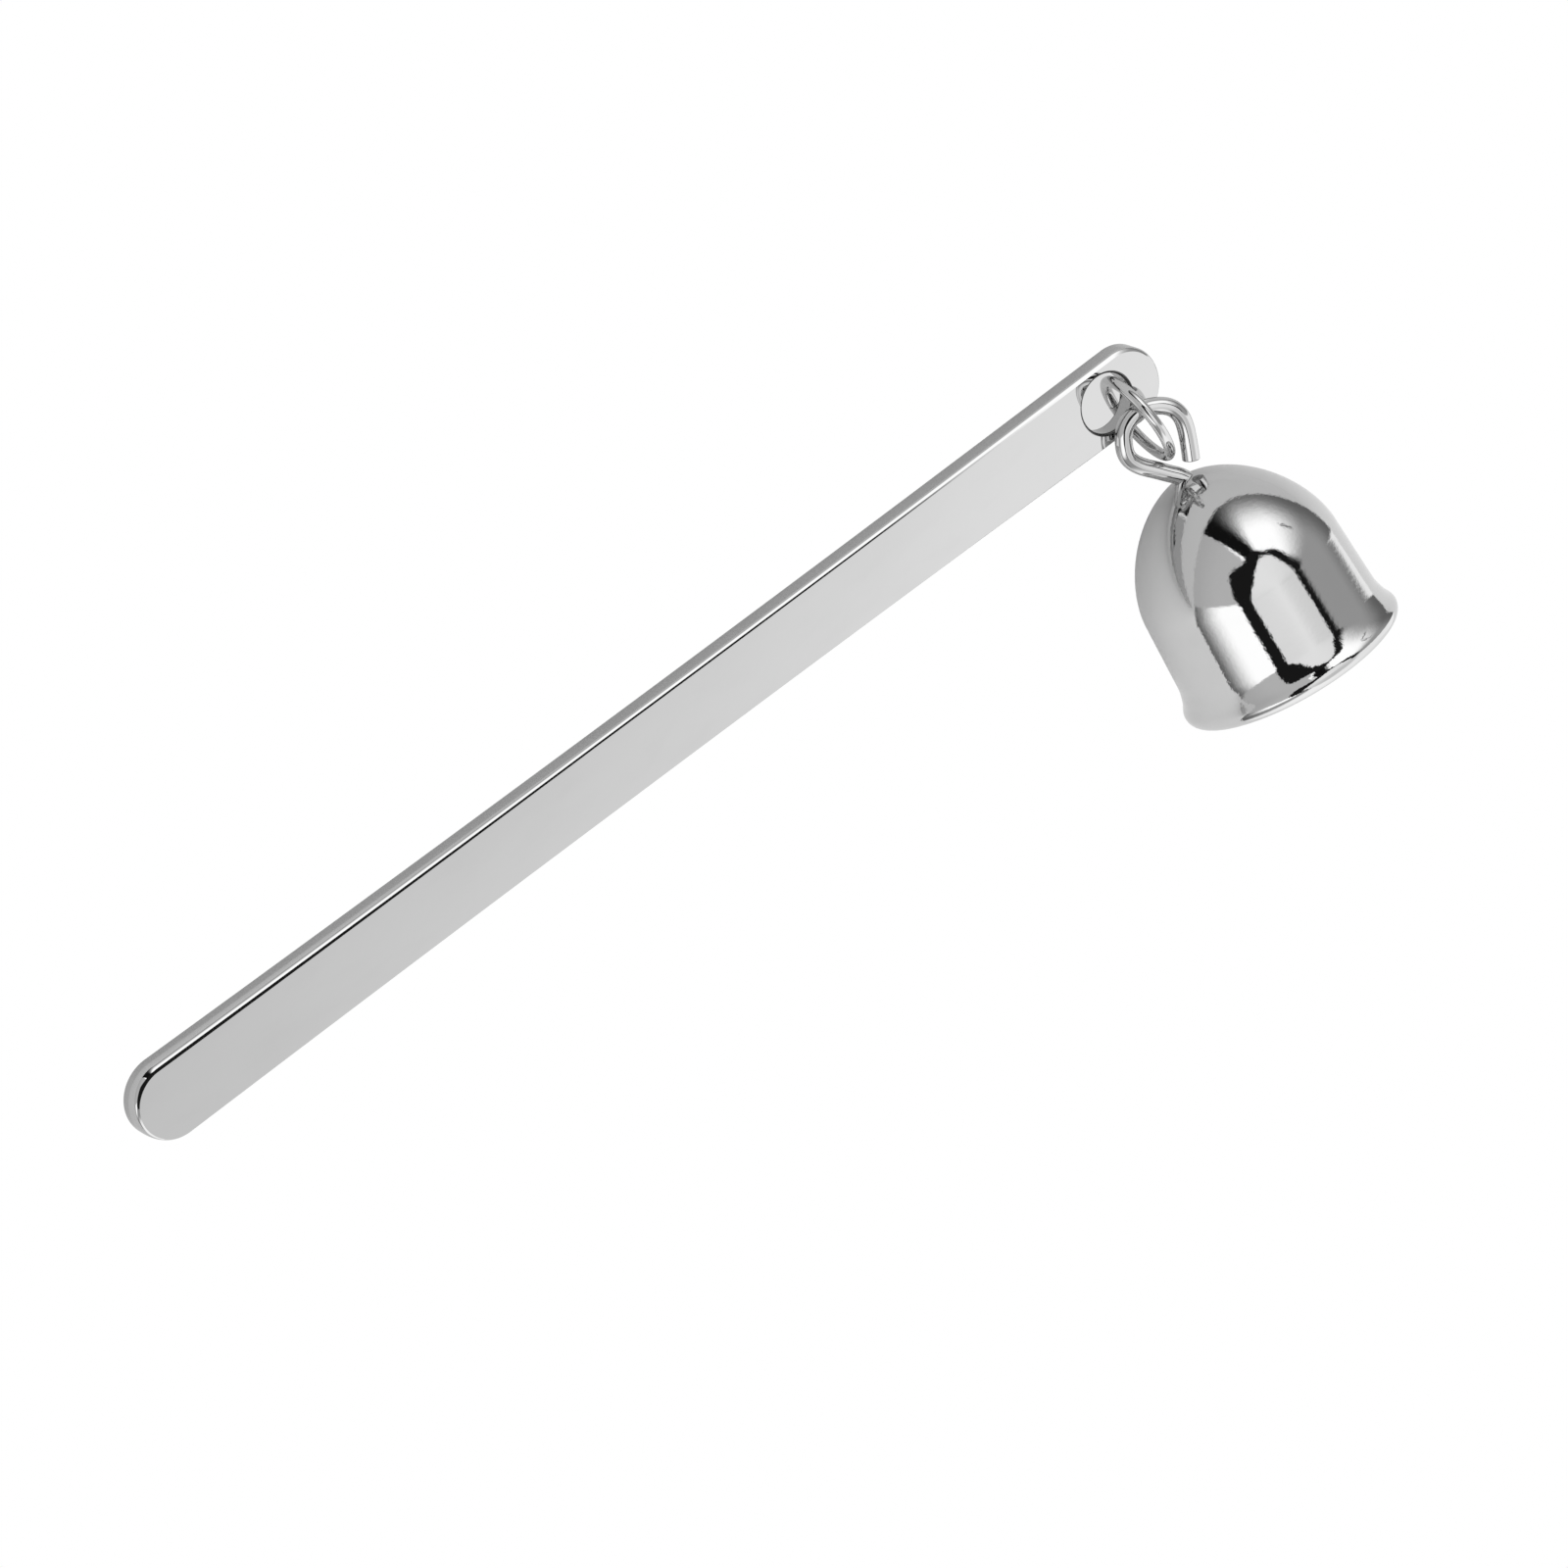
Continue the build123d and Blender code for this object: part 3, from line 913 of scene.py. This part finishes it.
def strip_mesh(settings):
    """The strip's mesh with its rounded edges and hole, and its exact normals."""
    strip, fine = settings.strip, settings.mesh
    shape = bmesh.new()
    normals = []
    outline, outward = strip_outline(strip, fine.outline_steps)
    loops = strip_edge(settings, outline, outward)
    outer_rims = add_wall(shape, normals, outline, outward, loops, POLISHED)
    angles = np.linspace(0, math.tau, 2 * fine.outline_steps, endpoint=False)
    spokes = np.column_stack((np.cos(angles), np.sin(angles)))
    centre = np.array((strip.length - strip.hole_from_head, 0))
    hole = centre + spokes * strip.hole_diameter / 2
    rounds = np.full(len(hole), strip.hole_round)
    sizes = (rounds, rounds, 0 * rounds, 0, strip.hole_round, fine.round_steps)
    loops = rounded_edges(strip.thickness, *sizes)[1:]
    # The hole's rims take the plating that is painted nearly black: a painted dark reflection
    hole_rims = add_wall(shape, normals, hole, -spokes, loops, DRILLED_RIM_PAINTED_DARK)
    for rims in zip(outer_rims, hole_rims):
        edges = [shape.edges.get((rim[k - 1], rim[k])) for rim in rims for k in range(len(rim))]
        bmesh.ops.triangle_fill(shape, use_beauty=True, edges=edges)
    place = strip_place(settings)
    shape.transform(place)
    mesh = pour(shape, bpy.data.meshes.new("strip"))
    mesh.shade_smooth()
    turn_only = np.array(place.to_3x3())
    corners = (np.array(normals) @ turn_only.T)[[loop.vertex_index for loop in mesh.loops]]
    front = Vector(turn_only[:, 2])
    for face in mesh.polygons:
        if abs(face.normal.dot(front)) > FLAT:
            corners[list(face.loop_indices)] = face.normal
    mesh.normals_split_custom_set(corners.tolist())
    return mesh


class SNUFFER_OT_make_strip(Maker, bpy.types.Operator):
    """Makes the strip handle"""

    bl_idname = "snuffer.make_strip"
    bl_label = "Strip handle"

    def make(self, settings):
        mesh = strip_mesh(settings)
        # The edge and the hole's rims take platings painted darker: painted shade and painted
        # reflection
        for name in ("handle_plating", "stamped_edge_painted_shade_plating", "drilled_rim_painted_reflection_plating"):
            mesh.materials.append(plating(settings, name))
        finish_piece("handle_strip", mesh, "handle", STRIP_BODY)


# Jump ring --------------------------------------------------------------------------------


class SNUFFER_OT_make_ring(Maker, bpy.types.Operator):
    """Makes the jump ring that joins the hook to the handle"""

    bl_idname = "snuffer.make_ring"
    bl_label = "Jump ring"

    def make(self, settings):
        ring, steps = settings.ring, settings.mesh.ring_steps
        length = ring.radius * (math.tau - ring.slit)
        distances = end_distances(length, ring.end_round, steps, RING_END_STEPS)
        angles = ring.slit / 2 + distances / ring.radius
        line = np.column_stack((np.cos(angles), np.sin(angles), 0 * angles)) * ring.radius
        metal = plating(settings, "ring_plating")
        mesh = wire_mesh(settings, "jump_ring_wire", ring, line, metal, ring_place(settings))
        shade(mesh)
        finish_piece("ring_wire", mesh, "jump_ring", RING_BODY)


# Bell -------------------------------------------------------------------------------------


def line_inside(mesh, place, bell):
    """Gives the faces inside the bell the second finish."""
    back = place.inverted()
    turn_back = back.to_3x3()
    inner_radius = bell.shoulder_radius - bell.wall
    for face in mesh.polygons:
        centre = back @ face.center
        normal = turn_back @ face.normal
        faces_in = normal.xy.dot(centre.xy) < 0
        under_crown = normal.z > 0 and centre.xy.length < inner_radius
        above_rim = centre.z < mouth_depth(bell) - bell.rim_round
        face.material_index = int((faces_in or under_crown) and above_rim)


class SNUFFER_OT_make_bell(Maker, bpy.types.Operator):
    """Makes the bell that is held over the flame"""

    bl_idname = "snuffer.make_bell"
    bl_label = "Bell"

    def make(self, settings):
        outline, steps = bell_outline(settings.bell), settings.mesh.bell_steps
        place = bell_place(settings)
        metal = plating(settings, "bell_plating")
        mesh = turned_mesh("bell_shell", outline, steps, metal, place)
        mesh.materials.append(plating(settings, "bell_inside_plating"))
        line_inside(mesh, place, settings.bell)
        shade(mesh)
        finish_piece("bell_shell", mesh, "bell", SNUFFER_BODY)


# Hook -------------------------------------------------------------------------------------


def hook_line(hook):
    """The hook's centre line in the bell's frame, from its root to its free end."""
    places = []
    for side, up in np.array(HOOK_LINE) * hook.height:
        lift = hook.lift if up > 0 else 0.0
        places.append((side, up * math.sin(lift), -up * math.cos(lift)))
    return smooth_line(places, HOOK_CURVE_STEPS)


def cut_at_seat(mesh, place, seat):
    """Cuts the hook's wire off square where it stands on the bell."""
    shape = shape_of(mesh)
    bmesh.ops.bisect_plane(
        shape,
        geom=shape.verts[:] + shape.edges[:] + shape.faces[:],
        plane_co=place @ Vector((0, 0, seat)),
        plane_no=place.to_3x3() @ Vector((0, 0, 1)),
        clear_outer=True,
    )
    open_edges = [edge for edge in shape.edges if edge.is_boundary]
    bmesh.ops.holes_fill(shape, edges=open_edges)
    pour(shape, mesh)


class SNUFFER_OT_make_hook(Maker, bpy.types.Operator):
    """Makes the wire hook and its threaded stem"""

    bl_idname = "snuffer.make_hook"
    bl_label = "Wire hook"

    def make(self, settings):
        hook, fine = settings.hook, settings.mesh
        place = bell_place(settings)
        metal = plating(settings, "hook_plating")
        seat, _, _, _, end = stem_levels(settings)
        curve = hook_line(hook)
        length = travelled(curve)[-1]
        distances = end_distances(length, hook.end_round, fine.hook_steps, HOOK_END_STEPS)
        line = along_line(curve, distances)
        wire = wire_mesh(settings, "hook_loop", hook, line, metal, place)
        cut_at_seat(wire, place, seat)
        inputs = {
            "Start": seat,
            "End": end,
            "Thread radius": hook.thread_radius,
            "Groove depth": hook.thread_depth,
            "Pitch": hook.thread_pitch,
            "Chamfer": hook.thread_chamfer,
            "Steps round": fine.wire_sides,
            "Rows": int((end - seat) / hook.thread_pitch * fine.thread_steps) + 2,
            "Metal": metal,
        }
        stem = grown_mesh("hook_stem", thread_tree, line[:2], inputs, place)
        mesh = pour(shape_of(wire, stem), bpy.data.meshes.new("hook_wire"))
        mesh.materials.append(metal)
        shade(mesh)
        finish_piece("hook_wire", mesh, "eye_hook", SNUFFER_BODY)


# Washer and nut ---------------------------------------------------------------------------

# Faces round the washer, over each of its rounded edges, and round the nut
WASHER_STEPS, WASHER_EDGE_STEPS, NUT_STEPS = 96, 4, 120

# The angle from the middle of a nut's flat to its corner
HALF_FLAT = math.pi / 6


def washer_outline(fixing, top, bottom):
    """The closed outline of the washer, as radius and depth."""
    r = fixing.washer_round
    inner, outer = fixing.washer_hole + r, fixing.washer_radius - r
    centres = ((outer, top + r), (outer, bottom - r), (inner, bottom - r), (inner, top + r))
    arcs = [
        arc_line(centre, r, 90 * k - 90, 90 * k, WASHER_EDGE_STEPS)
        for k, centre in enumerate(centres)
    ]
    return np.concatenate((*arcs, [(outer, top)]))


class SNUFFER_OT_make_washer(Maker, bpy.types.Operator):
    """Makes the washer inside the bell"""

    bl_idname = "snuffer.make_washer"
    bl_label = "Washer"

    def make(self, settings):
        _, ceiling, washer_top, _, _ = stem_levels(settings)
        outline = washer_outline(settings.fixing, ceiling, washer_top)
        metal = fixing_steel(settings, "washer_zinc")
        mesh = turned_mesh("washer_disc", outline, WASHER_STEPS, metal, bell_place(settings))
        shade(mesh)
        finish_piece("washer_disc", mesh, "washer", SNUFFER_BODY)


def nut_mesh(settings):
    """A hexagonal nut with its corners turned down and its bore chamfered."""
    fixing = settings.fixing
    _, _, bottom, top, _ = stem_levels(settings)
    flat = fixing.nut_flats / 2
    corner = flat / math.cos(HALF_FLAT)
    bore, wide = fixing.nut_bore, fixing.nut_bore + fixing.nut_chamfer
    shape = bmesh.new()
    columns = []
    for angle in np.linspace(0, math.tau, NUT_STEPS, endpoint=False):
        reach = flat / math.cos((angle + HALF_FLAT) % (2 * HALF_FLAT) - HALF_FLAT)
        drop = fixing.nut_drop * (reach - flat) / (corner - flat)
        column = []
        for radius, depth in (
            (bore, bottom + fixing.nut_chamfer),
            (wide, bottom),
            (flat, bottom),
            (reach, bottom + drop),
            (reach, top - drop),
            (flat, top),
            (wide, top),
            (bore, top - fixing.nut_chamfer),
        ):
            place = (radius * math.cos(angle), radius * math.sin(angle), depth)
            column.append(shape.verts.new(place))
        columns.append(column)
    for k, column in enumerate(columns):
        before = columns[k - 1]
        for row in range(len(column)):
            shape.faces.new((before[row - 1], column[row - 1], column[row], before[row]))
    bmesh.ops.remove_doubles(shape, verts=shape.verts, dist=MERGE_DISTANCE)
    shape.transform(bell_place(settings))
    return pour(shape, bpy.data.meshes.new("hex_nut"))


class SNUFFER_OT_make_nut(Maker, bpy.types.Operator):
    """Makes the nut inside the bell"""

    bl_idname = "snuffer.make_nut"
    bl_label = "Nut"

    def make(self, settings):
        mesh = nut_mesh(settings)
        mesh.materials.append(fixing_steel(settings, "nut_zinc"))
        shade(mesh, NUT_SHARP_FROM)
        finish_piece("hex_nut", mesh, "nut", SNUFFER_BODY)


# Finishes ---------------------------------------------------------------------------------

# Each plating's ripple length and ripple depth in shares of the bell's, how its haze is drawn
# out along X, what it adds to the roughness, and its brightness
PLATINGS = {
    "bell_plating": (1.0, 1.0, 1.0, 0.0, 1.0),
    # Inside the bell it isn't polished
    "bell_inside_plating": (1.2, 1.0, 1.0, 0.2, 1.0),
    # The handle is flatter than the rest and rubbed along its length
    "handle_plating": (8.0, 0.15, 0.35, 0.0, 1.0),
    # Its stamped edge isn't polished flat, and is painted darker: a painted shade of the floor it
    # reflects
    "stamped_edge_painted_shade_plating": (1.6, 0.5, 1.0, 0.1, 0.84),
    # The rims of its drilled hole stay dull and are painted nearly black: a painted dark reflection
    "drilled_rim_painted_reflection_plating": (1.6, 0.5, 1.0, 0.12, 0.22),
    # Drawn wire is smooth
    "ring_plating": (2.4, 0.175, 1.0, 0.0, 1.0),
    "hook_plating": (2.4, 0.175, 1.0, 0.0, 1.0),
}

# The haze is a sum of clouds and smaller patches: for each its length in metres, its detail, the
# values of its noise between which it sets in, and its share. It leaves this much brightness
HAZE = ((0.009, 3.0, (0.42, 0.72), 0.7), (0.0022, 4.0, (0.5, 0.75), 0.3))
HAZED_TONE = 0.965

# The finer ripple over the ripple: its length and its height as shares of the other's
FINE_LENGTH, FINE_HEIGHT = 0.25, 0.18

# The zinc of the washer and the nut. Lengths and depths are in metres
GRAIN_LENGTH, GRAIN_DEPTH = 0.0004, 0.000006
ZINC_ROUGHNESS, GRAIN_ROUGHNESS = 0.24, 0.16
STAIN_LENGTH, STAIN_EDGES, STAIN_TONE = 0.002, (0.35, 0.7), 0.8


def new_material(name):
    """A fresh material, its tree and the place on its piece."""
    old = bpy.data.materials.get(name)
    if old is not None:
        bpy.data.materials.remove(old)
    material = bpy.data.materials.new(name)
    material.use_nodes = True
    tree = Tree(material.node_tree)
    place = tree.add("ShaderNodeTexCoord")["Object"]
    return material, tree, place


def dress(tree, tint, roughness, height, depth):
    """Ends a metal with its shader: its bumps are this deep where their height is 1."""
    sockets = {"Height": height, "Distance": depth, "Strength": 1.0}
    bump = tree.add("ShaderNodeBump", sockets)["Normal"]
    sockets = {"Base Color": tint, "Metallic": 1.0, "Roughness": roughness, "Normal": bump}
    shader = tree.add("ShaderNodeBsdfPrincipled", sockets)
    tree.add("ShaderNodeOutputMaterial", {"Surface": shader["BSDF"]}, target="ALL")


def grey_shift(tint, factor):
    """A colour made lighter or darker."""
    return tuple(min(1.0, part * factor) for part in tint) + (1.0,)


def plating(settings, name):
    """Polished chrome plate: clean mirror, faint handling haze and a fine ripple."""
    finish = settings.finish
    long, deep, drawn_out, rough_more, tone = PLATINGS[name]
    material, tree, place = new_material(name)
    stretch = (drawn_out, 1.0, 1.0)
    haze = sum(
        tree.noise(place, length, detail, stretch).rising(*edges) * part
        for length, detail, edges, part in HAZE
    )
    clean, hazed = (grey_shift(finish.chrome, tone * part) for part in (1.0, HAZED_TONE))
    ripple_length = finish.ripple_length * long
    ripple = tree.noise(place, ripple_length)
    fine_ripple = tree.noise(place, ripple_length * FINE_LENGTH, detail=1.0)
    roughness = finish.polish + rough_more + haze * finish.haze
    height, depth = ripple + fine_ripple * FINE_HEIGHT, finish.ripple_depth * deep
    dress(tree, tree.mix(haze, clean, hazed), roughness, height, depth)
    return material


def fixing_steel(settings, name):
    """Zinc-plated steel of the washer and the nut."""
    material, tree, place = new_material(name)
    grain = tree.noise(place, GRAIN_LENGTH, detail=4.0)
    stain = tree.noise(place, STAIN_LENGTH).rising(*STAIN_EDGES)
    clean, stained = (grey_shift(settings.finish.steel, tone) for tone in (1.0, STAIN_TONE))
    roughness = ZINC_ROUGHNESS + grain * GRAIN_ROUGHNESS
    dress(tree, tree.mix(stain, clean, stained), roughness, grain, GRAIN_DEPTH)
    return material


# Stage ------------------------------------------------------------------------------------

# The studio round the piece. Compass angles and heights above the floor are in degrees, and a
# grey is what a part of the studio shows at in the plating. Compass angles start at the seam
SEAM = -40

# Where each wall starts, how soft its start is, its grey and the share of its light that it
# loses at its foot
WALLS = (
    (-13, 5, 144, 0.62),  # end wall
    (35, 42, 255, 0.86),  # front wall
    (108.5, 1, 173, 0.15),  # side screen
    (171, 3, 254, 0.9),  # white panel
    (197, 14, 140, 0.6),  # corner
    (229, 20, 238, 0.1),  # window wall
    (290, 60, 226, 0.15),  # far window wall
)
FOOT_HEIGHTS = (-6, 27)

# How uneven the studio's outlines are: the scale and detail of the waves in them, and how far
# they go to the sides and up and down
WAVE_SCALE, WAVE_DETAIL = 8.0, 5.0
WAVES_AROUND, WAVES_ABOVE = 3, 2

# A dark beam runs round under the ceiling, with its edges at these heights by compass angle.
# Each edge is soft by the first number, and by both where it isn't crisp: the top is crisp
# between two compass angles that are soft by the third number, and the foot grows crisp from
# its first compass angle to its second
BEAM_TOP = (
    (-40, 53), (-12, 62), (0, 69), (14, 66), (38, 63.5), (60, 57.5), (66, 53.5), (79, 48),
    (86, 47.5), (112, 53.5), (132, 58), (180, 58.5), (198, 63.5), (228, 62), (270, 53), (320, 53),
)
BEAM_FOOT = (
    (-40, 70), (0, 61), (14, 53.5), (44, 52), (60, 46), (74, 45.5), (80, 44), (90, 39),
    (114, 40), (132, 31), (181, 46.5), (197, 57), (230, 66), (320, 70),
)
BEAM_TOP_SOFT, BEAM_TOP_SOFTER, BEAM_TOP_CRISP = 1.2, 8, (-12, 232, 10)
BEAM_FOOT_SOFT, BEAM_FOOT_SOFTER, BEAM_FOOT_CRISP = 1.4, 7.5, (28, 62)
BEAM_GREY = 23

# A black flag hangs from the beam to the floor. Its end leans by this share of the height. Its
# start is soft by the first number above the heights and by both below them, and this much of
# that lies before and after it
FLAG_START, FLAG_END, FLAG_END_SOFT = 90, 110, 1
FLAG_LEAN = 0.13
FLAG_BEFORE, FLAG_AFTER = 0.75, 0.25
FLAG_SOFT, FLAG_SOFTER, FLAG_HEIGHTS = 8, 25, (0, 42)
FLAG_GREY = 16

# The thin arm of a light stand, by its ends and its lower and upper edge
ARM_ENDS = (30, 43)
ARM_EDGES = (23.2, 25.4)
ARM_END_SOFT, ARM_EDGE_SOFT = 3, 1.2
ARM_GREY = 110

# Strength of the soft light that falls on the floor and the finishes that aren't mirrors, and
# the places along Y, in metres, between which the floor's near side starts, painted darker as shade
SOFTBOX = 1.135
NEAR_SIDE = (-0.02, 0.025)

# The floor fades between these shares of how far out it shows. Its fibres are this long, in
# metres, set in between these values of their noise, and have this tone
FLOOR_FADE = (0.9, 1.1)
FIBRE_LENGTH, FIBRE_EDGES, FIBRE_TONE = 0.05, (0.3, 0.7), 0.99

# The shade on the floor that the camera sees through the handle's hole: from below the
# hole's centre to its middle, and the distances from there between which it fades
HOLE_SHADE = (0.0016, -0.0022)
HOLE_SHADE_EDGE = (0.0036, 0.0052)

# A plain grey lies under the studio, for what swings below the floor to show in its plating
CELLAR_HEIGHTS = (-30, -9)
CELLAR_GREY = 165

# The ceiling glows towards one side
CEILING_GREYS = (188, 222)
GLOW_TOWARDS = 110


def grey_light(grey, chrome):
    """The light that shows at this display grey in the plating, by the sRGB curve."""
    display = grey / 255
    light = display / 12.92 if display <= 0.04045 else ((display + 0.055) / 1.055) ** 2.4
    return light / chrome


def studio_light(tree, chrome):
    """The light that comes from each direction of the studio."""
    way = tree.add("ShaderNodeTexCoord")["Generated"]
    parts = tree.add("ShaderNodeSeparateXYZ", {"Vector": way})
    sockets = {"Vector": way, "Scale": WAVE_SCALE, "Detail": WAVE_DETAIL}
    wave = tree.add("ShaderNodeTexNoise", sockets)["Fac"] - 0.5
    degree = math.degrees(1)
    compass = parts["Y"].math("ARCTAN2", parts["X"]) * degree
    around = (compass + 360 - SEAM).math("MODULO", 360) + SEAM + wave * WAVES_AROUND
    above = parts["Z"].math("ARCSINE") * degree + wave * WAVES_ABOVE

    def painted(light, share_of_new, new):
        return light + (new - light) * share_of_new

    at_foot = 1 - above.rising(*FOOT_HEIGHTS)
    light = 0 * at_foot + grey_light(WALLS[-1][2], chrome)
    for start, softness, grey, loss in WALLS:
        wall = grey_light(grey, chrome) * (1 - loss * at_foot)
        light = painted(light, around.past(start, softness), wall)
    arm = around.between(*ARM_ENDS, ARM_END_SOFT) * above.between(*ARM_EDGES, ARM_EDGE_SOFT)
    light = painted(light, arm, grey_light(ARM_GREY, chrome))
    softness = FLAG_SOFT + FLAG_SOFTER * (1 - above.rising(*FLAG_HEIGHTS))
    flag = around.rising(FLAG_START - softness * FLAG_BEFORE, FLAG_START + softness * FLAG_AFTER)
    flag = flag * (1 - around.past(FLAG_END - above * FLAG_LEAN, FLAG_END_SOFT))
    light = painted(light, flag, grey_light(FLAG_GREY, chrome))
    softness = BEAM_FOOT_SOFT + BEAM_FOOT_SOFTER * (1 - around.rising(*BEAM_FOOT_CRISP))
    beam = above.past(tree.curve(around, BEAM_FOOT), softness)
    light = painted(light, beam, grey_light(BEAM_GREY, chrome))
    softness = BEAM_TOP_SOFT + BEAM_TOP_SOFTER * (1 - around.between(*BEAM_TOP_CRISP))
    ceiling = above.past(tree.curve(around, BEAM_TOP), softness)
    dim, bright = (grey_light(grey, chrome) for grey in CEILING_GREYS)
    glow = ((around - GLOW_TOWARDS) / degree).math("COSINE") * 0.5 + 0.5
    light = painted(light, ceiling, dim + (bright - dim) * glow)
    return painted(light, 1 - above.rising(*CELLAR_HEIGHTS), grey_light(CELLAR_GREY, chrome))


def light_studio(settings):
    """Soft studio surroundings, plain pale where the camera sees them."""
    world = bpy.data.worlds.get("studio") or bpy.data.worlds.new("studio")
    bpy.context.scene.world = world
    world.use_nodes = True
    tree = Tree(world.node_tree)

    def background(tint, strength):
        sockets = {"Color": tuple(tint) + (1.0,), "Strength": strength}
        return tree.add("ShaderNodeBackground", sockets)["Background"]

    ray = tree.add("ShaderNodeLightPath")
    plain = background(settings.stage.backdrop, SOFTBOX - (SOFTBOX - 1) * ray["Is Camera Ray"])
    room = background((1.0, 1.0, 1.0), studio_light(tree, settings.finish.chrome[0]))
    sockets = {"Surface": tree.one_of(ray["Is Glossy Ray"], plain, room)}
    tree.add("ShaderNodeOutputWorld", sockets, target="ALL")
    world.cycles.sampling_method = "NONE"


def lay_floor(settings):
    """A pale floor that shows in the plating, and to the camera only as a shade in the hole.

    It is clear from below and far off, so it hides nothing that swings below it.
    """
    stage, strip = settings.stage, settings.strip
    fade_start, half = (stage.floor_seen * part for part in FLOOR_FADE)
    mesh = bpy.data.meshes.new("studio_floor")
    corners = [(-half, -half, 0), (half, -half, 0), (half, half, 0), (-half, half, 0)]
    mesh.from_pydata(corners, [], [(0, 1, 2, 3)])
    material, tree, place = new_material("floor_paper")
    fibre = tree.noise(place, FIBRE_LENGTH, detail=3.0).rising(*FIBRE_EDGES)

    # A lift makes the paper glow with that share of its light: painted light
    def paper(brightness, lift=0.0):
        tone = brightness * (1 - lift)
        light, dark = (grey_shift(stage.floor_colour, tone * part) for part in (1.0, FIBRE_TONE))
        sockets = {
            "Base Color": tree.mix(fibre, light, dark),
            "Roughness": 0.9,
            "Specular IOR Level": 0.1,
            "Emission Color": light,
            "Emission Strength": SOFTBOX * lift / (1 - lift),
        }
        return tree.add("ShaderNodeBsdfPrincipled", sockets)["BSDF"]

    def see_through(grey):
        sockets = {"Color": (grey, grey, grey, 1.0)}
        return tree.add("ShaderNodeBsdfTransparent", sockets)["BSDF"]

    def distance(point):
        points = {0: place, 1: point}
        return tree.add("ShaderNodeVectorMath", points, operation="DISTANCE")["Value"]

    across = tree.add("ShaderNodeSeparateXYZ", {"Vector": place})["Y"]
    # In the plating the floor is painted darker on its near side: a painted shade
    lit = tree.one_of(across.rising(*NEAR_SIDE), paper(stage.floor_far), paper(stage.floor_near_shaded))
    edges = (strip.aside - strip.head_width / 2, strip.aside + strip.head_width / 2)
    under_strip = across.between(*edges, strip.thickness / 2)
    # Under the strip the paper glows: painted light that lifts the shadow there
    lit = tree.one_of(under_strip, lit, paper(stage.floor_near_shaded, stage.floor_lift))
    hole = hole_centre(settings)
    off_hole = distance((hole.x + HOLE_SHADE[0], hole.y + HOLE_SHADE[1], 0))
    beyond = distance((0, 0, 0)).rising(fade_start, half)
    from_camera = tree.add("ShaderNodeLightPath")["Is Camera Ray"]
    below = tree.add("ShaderNodeNewGeometry")["Backfacing"]
    shaded = from_camera * (1 - below) * (1 - off_hole.rising(*HOLE_SHADE_EDGE))
    gap = tree.one_of(shaded, see_through(1.0), see_through(stage.hole_shade))
    clear = below.math("MAXIMUM", beyond).math("MAXIMUM", from_camera)
    sockets = {"Surface": tree.one_of(clear, lit, gap)}
    tree.add("ShaderNodeOutputMaterial", sockets, target="ALL")
    mesh.materials.append(material)
    new_object("studio_floor", mesh)


def set_camera(settings):
    """The camera at the photograph's angle."""
    stage = settings.stage
    back = direction(stage.azimuth, stage.elevation)
    right = turned(sideways(stage.azimuth), stage.roll, back)
    data = bpy.data.cameras.new("studio_camera")
    data.sensor_width = 36.0
    data.lens = stage.lens
    data.clip_start = 0.01
    data.clip_end = 100.0
    camera = new_object("studio_camera", data)
    camera.matrix_world = axes_matrix(right, back, Vector(stage.aim) + back * stage.distance)
    bpy.context.scene.camera = camera


class SNUFFER_OT_make_stage(Maker, bpy.types.Operator):
    """Lays the floor and sets the light and the camera"""

    bl_idname = "snuffer.make_stage"
    bl_label = "Stage"

    def make(self, settings):
        bpy.context.scene.view_settings.view_transform = "Standard"
        set_camera(settings)
        lay_floor(settings)
        light_studio(settings)


# Panel and registration -------------------------------------------------------------------

MAKERS = (
    SNUFFER_OT_make_stage,
    SNUFFER_OT_make_strip,
    SNUFFER_OT_make_ring,
    SNUFFER_OT_make_bell,
    SNUFFER_OT_make_hook,
    SNUFFER_OT_make_washer,
    SNUFFER_OT_make_nut,
)


class SNUFFER_PT_panel(bpy.types.Panel):
    """Lists the snuffer's pieces and their settings"""

    bl_idname = "SNUFFER_PT_panel"
    bl_label = "Candle snuffer"
    bl_space_type = "VIEW_3D"
    bl_region_type = "UI"
    bl_category = "Snuffer"

    def draw(self, context):
        settings = context.scene.snuffer
        for maker in MAKERS:
            self.layout.operator(maker.bl_idname)
        for group in settings.bl_rna.properties:
            if group.type == "POINTER" and group.identifier != "rna_type":
                box = self.layout.box()
                box.label(text=group.identifier.capitalize())
                values = getattr(settings, group.identifier)
                for value in values.bl_rna.properties:
                    if value.identifier not in ("rna_type", "name"):
                        box.prop(values, value.identifier)


CLASSES = (
    SNUFFER_PG_strip,
    SNUFFER_PG_ring,
    SNUFFER_PG_bell,
    SNUFFER_PG_hook,
    SNUFFER_PG_fixing,
    SNUFFER_PG_finish,
    SNUFFER_PG_mesh,
    SNUFFER_PG_stage,
    SNUFFER_PG_all,
    *MAKERS,
    SNUFFER_PT_panel,
)


def register():
    for each in CLASSES:
        bpy.utils.register_class(each)
    bpy.types.Scene.snuffer = PointerProperty(type=SNUFFER_PG_all)


def unregister():
    del bpy.types.Scene.snuffer
    for each in reversed(CLASSES):
        bpy.utils.unregister_class(each)


def main():
    register()
    bpy.ops.snuffer.make_stage()
    bpy.ops.snuffer.make_strip()
    bpy.ops.snuffer.make_ring()
    bpy.ops.snuffer.make_bell()
    bpy.ops.snuffer.make_hook()
    bpy.ops.snuffer.make_washer()
    bpy.ops.snuffer.make_nut()


if __name__ == "__main__":
    main()
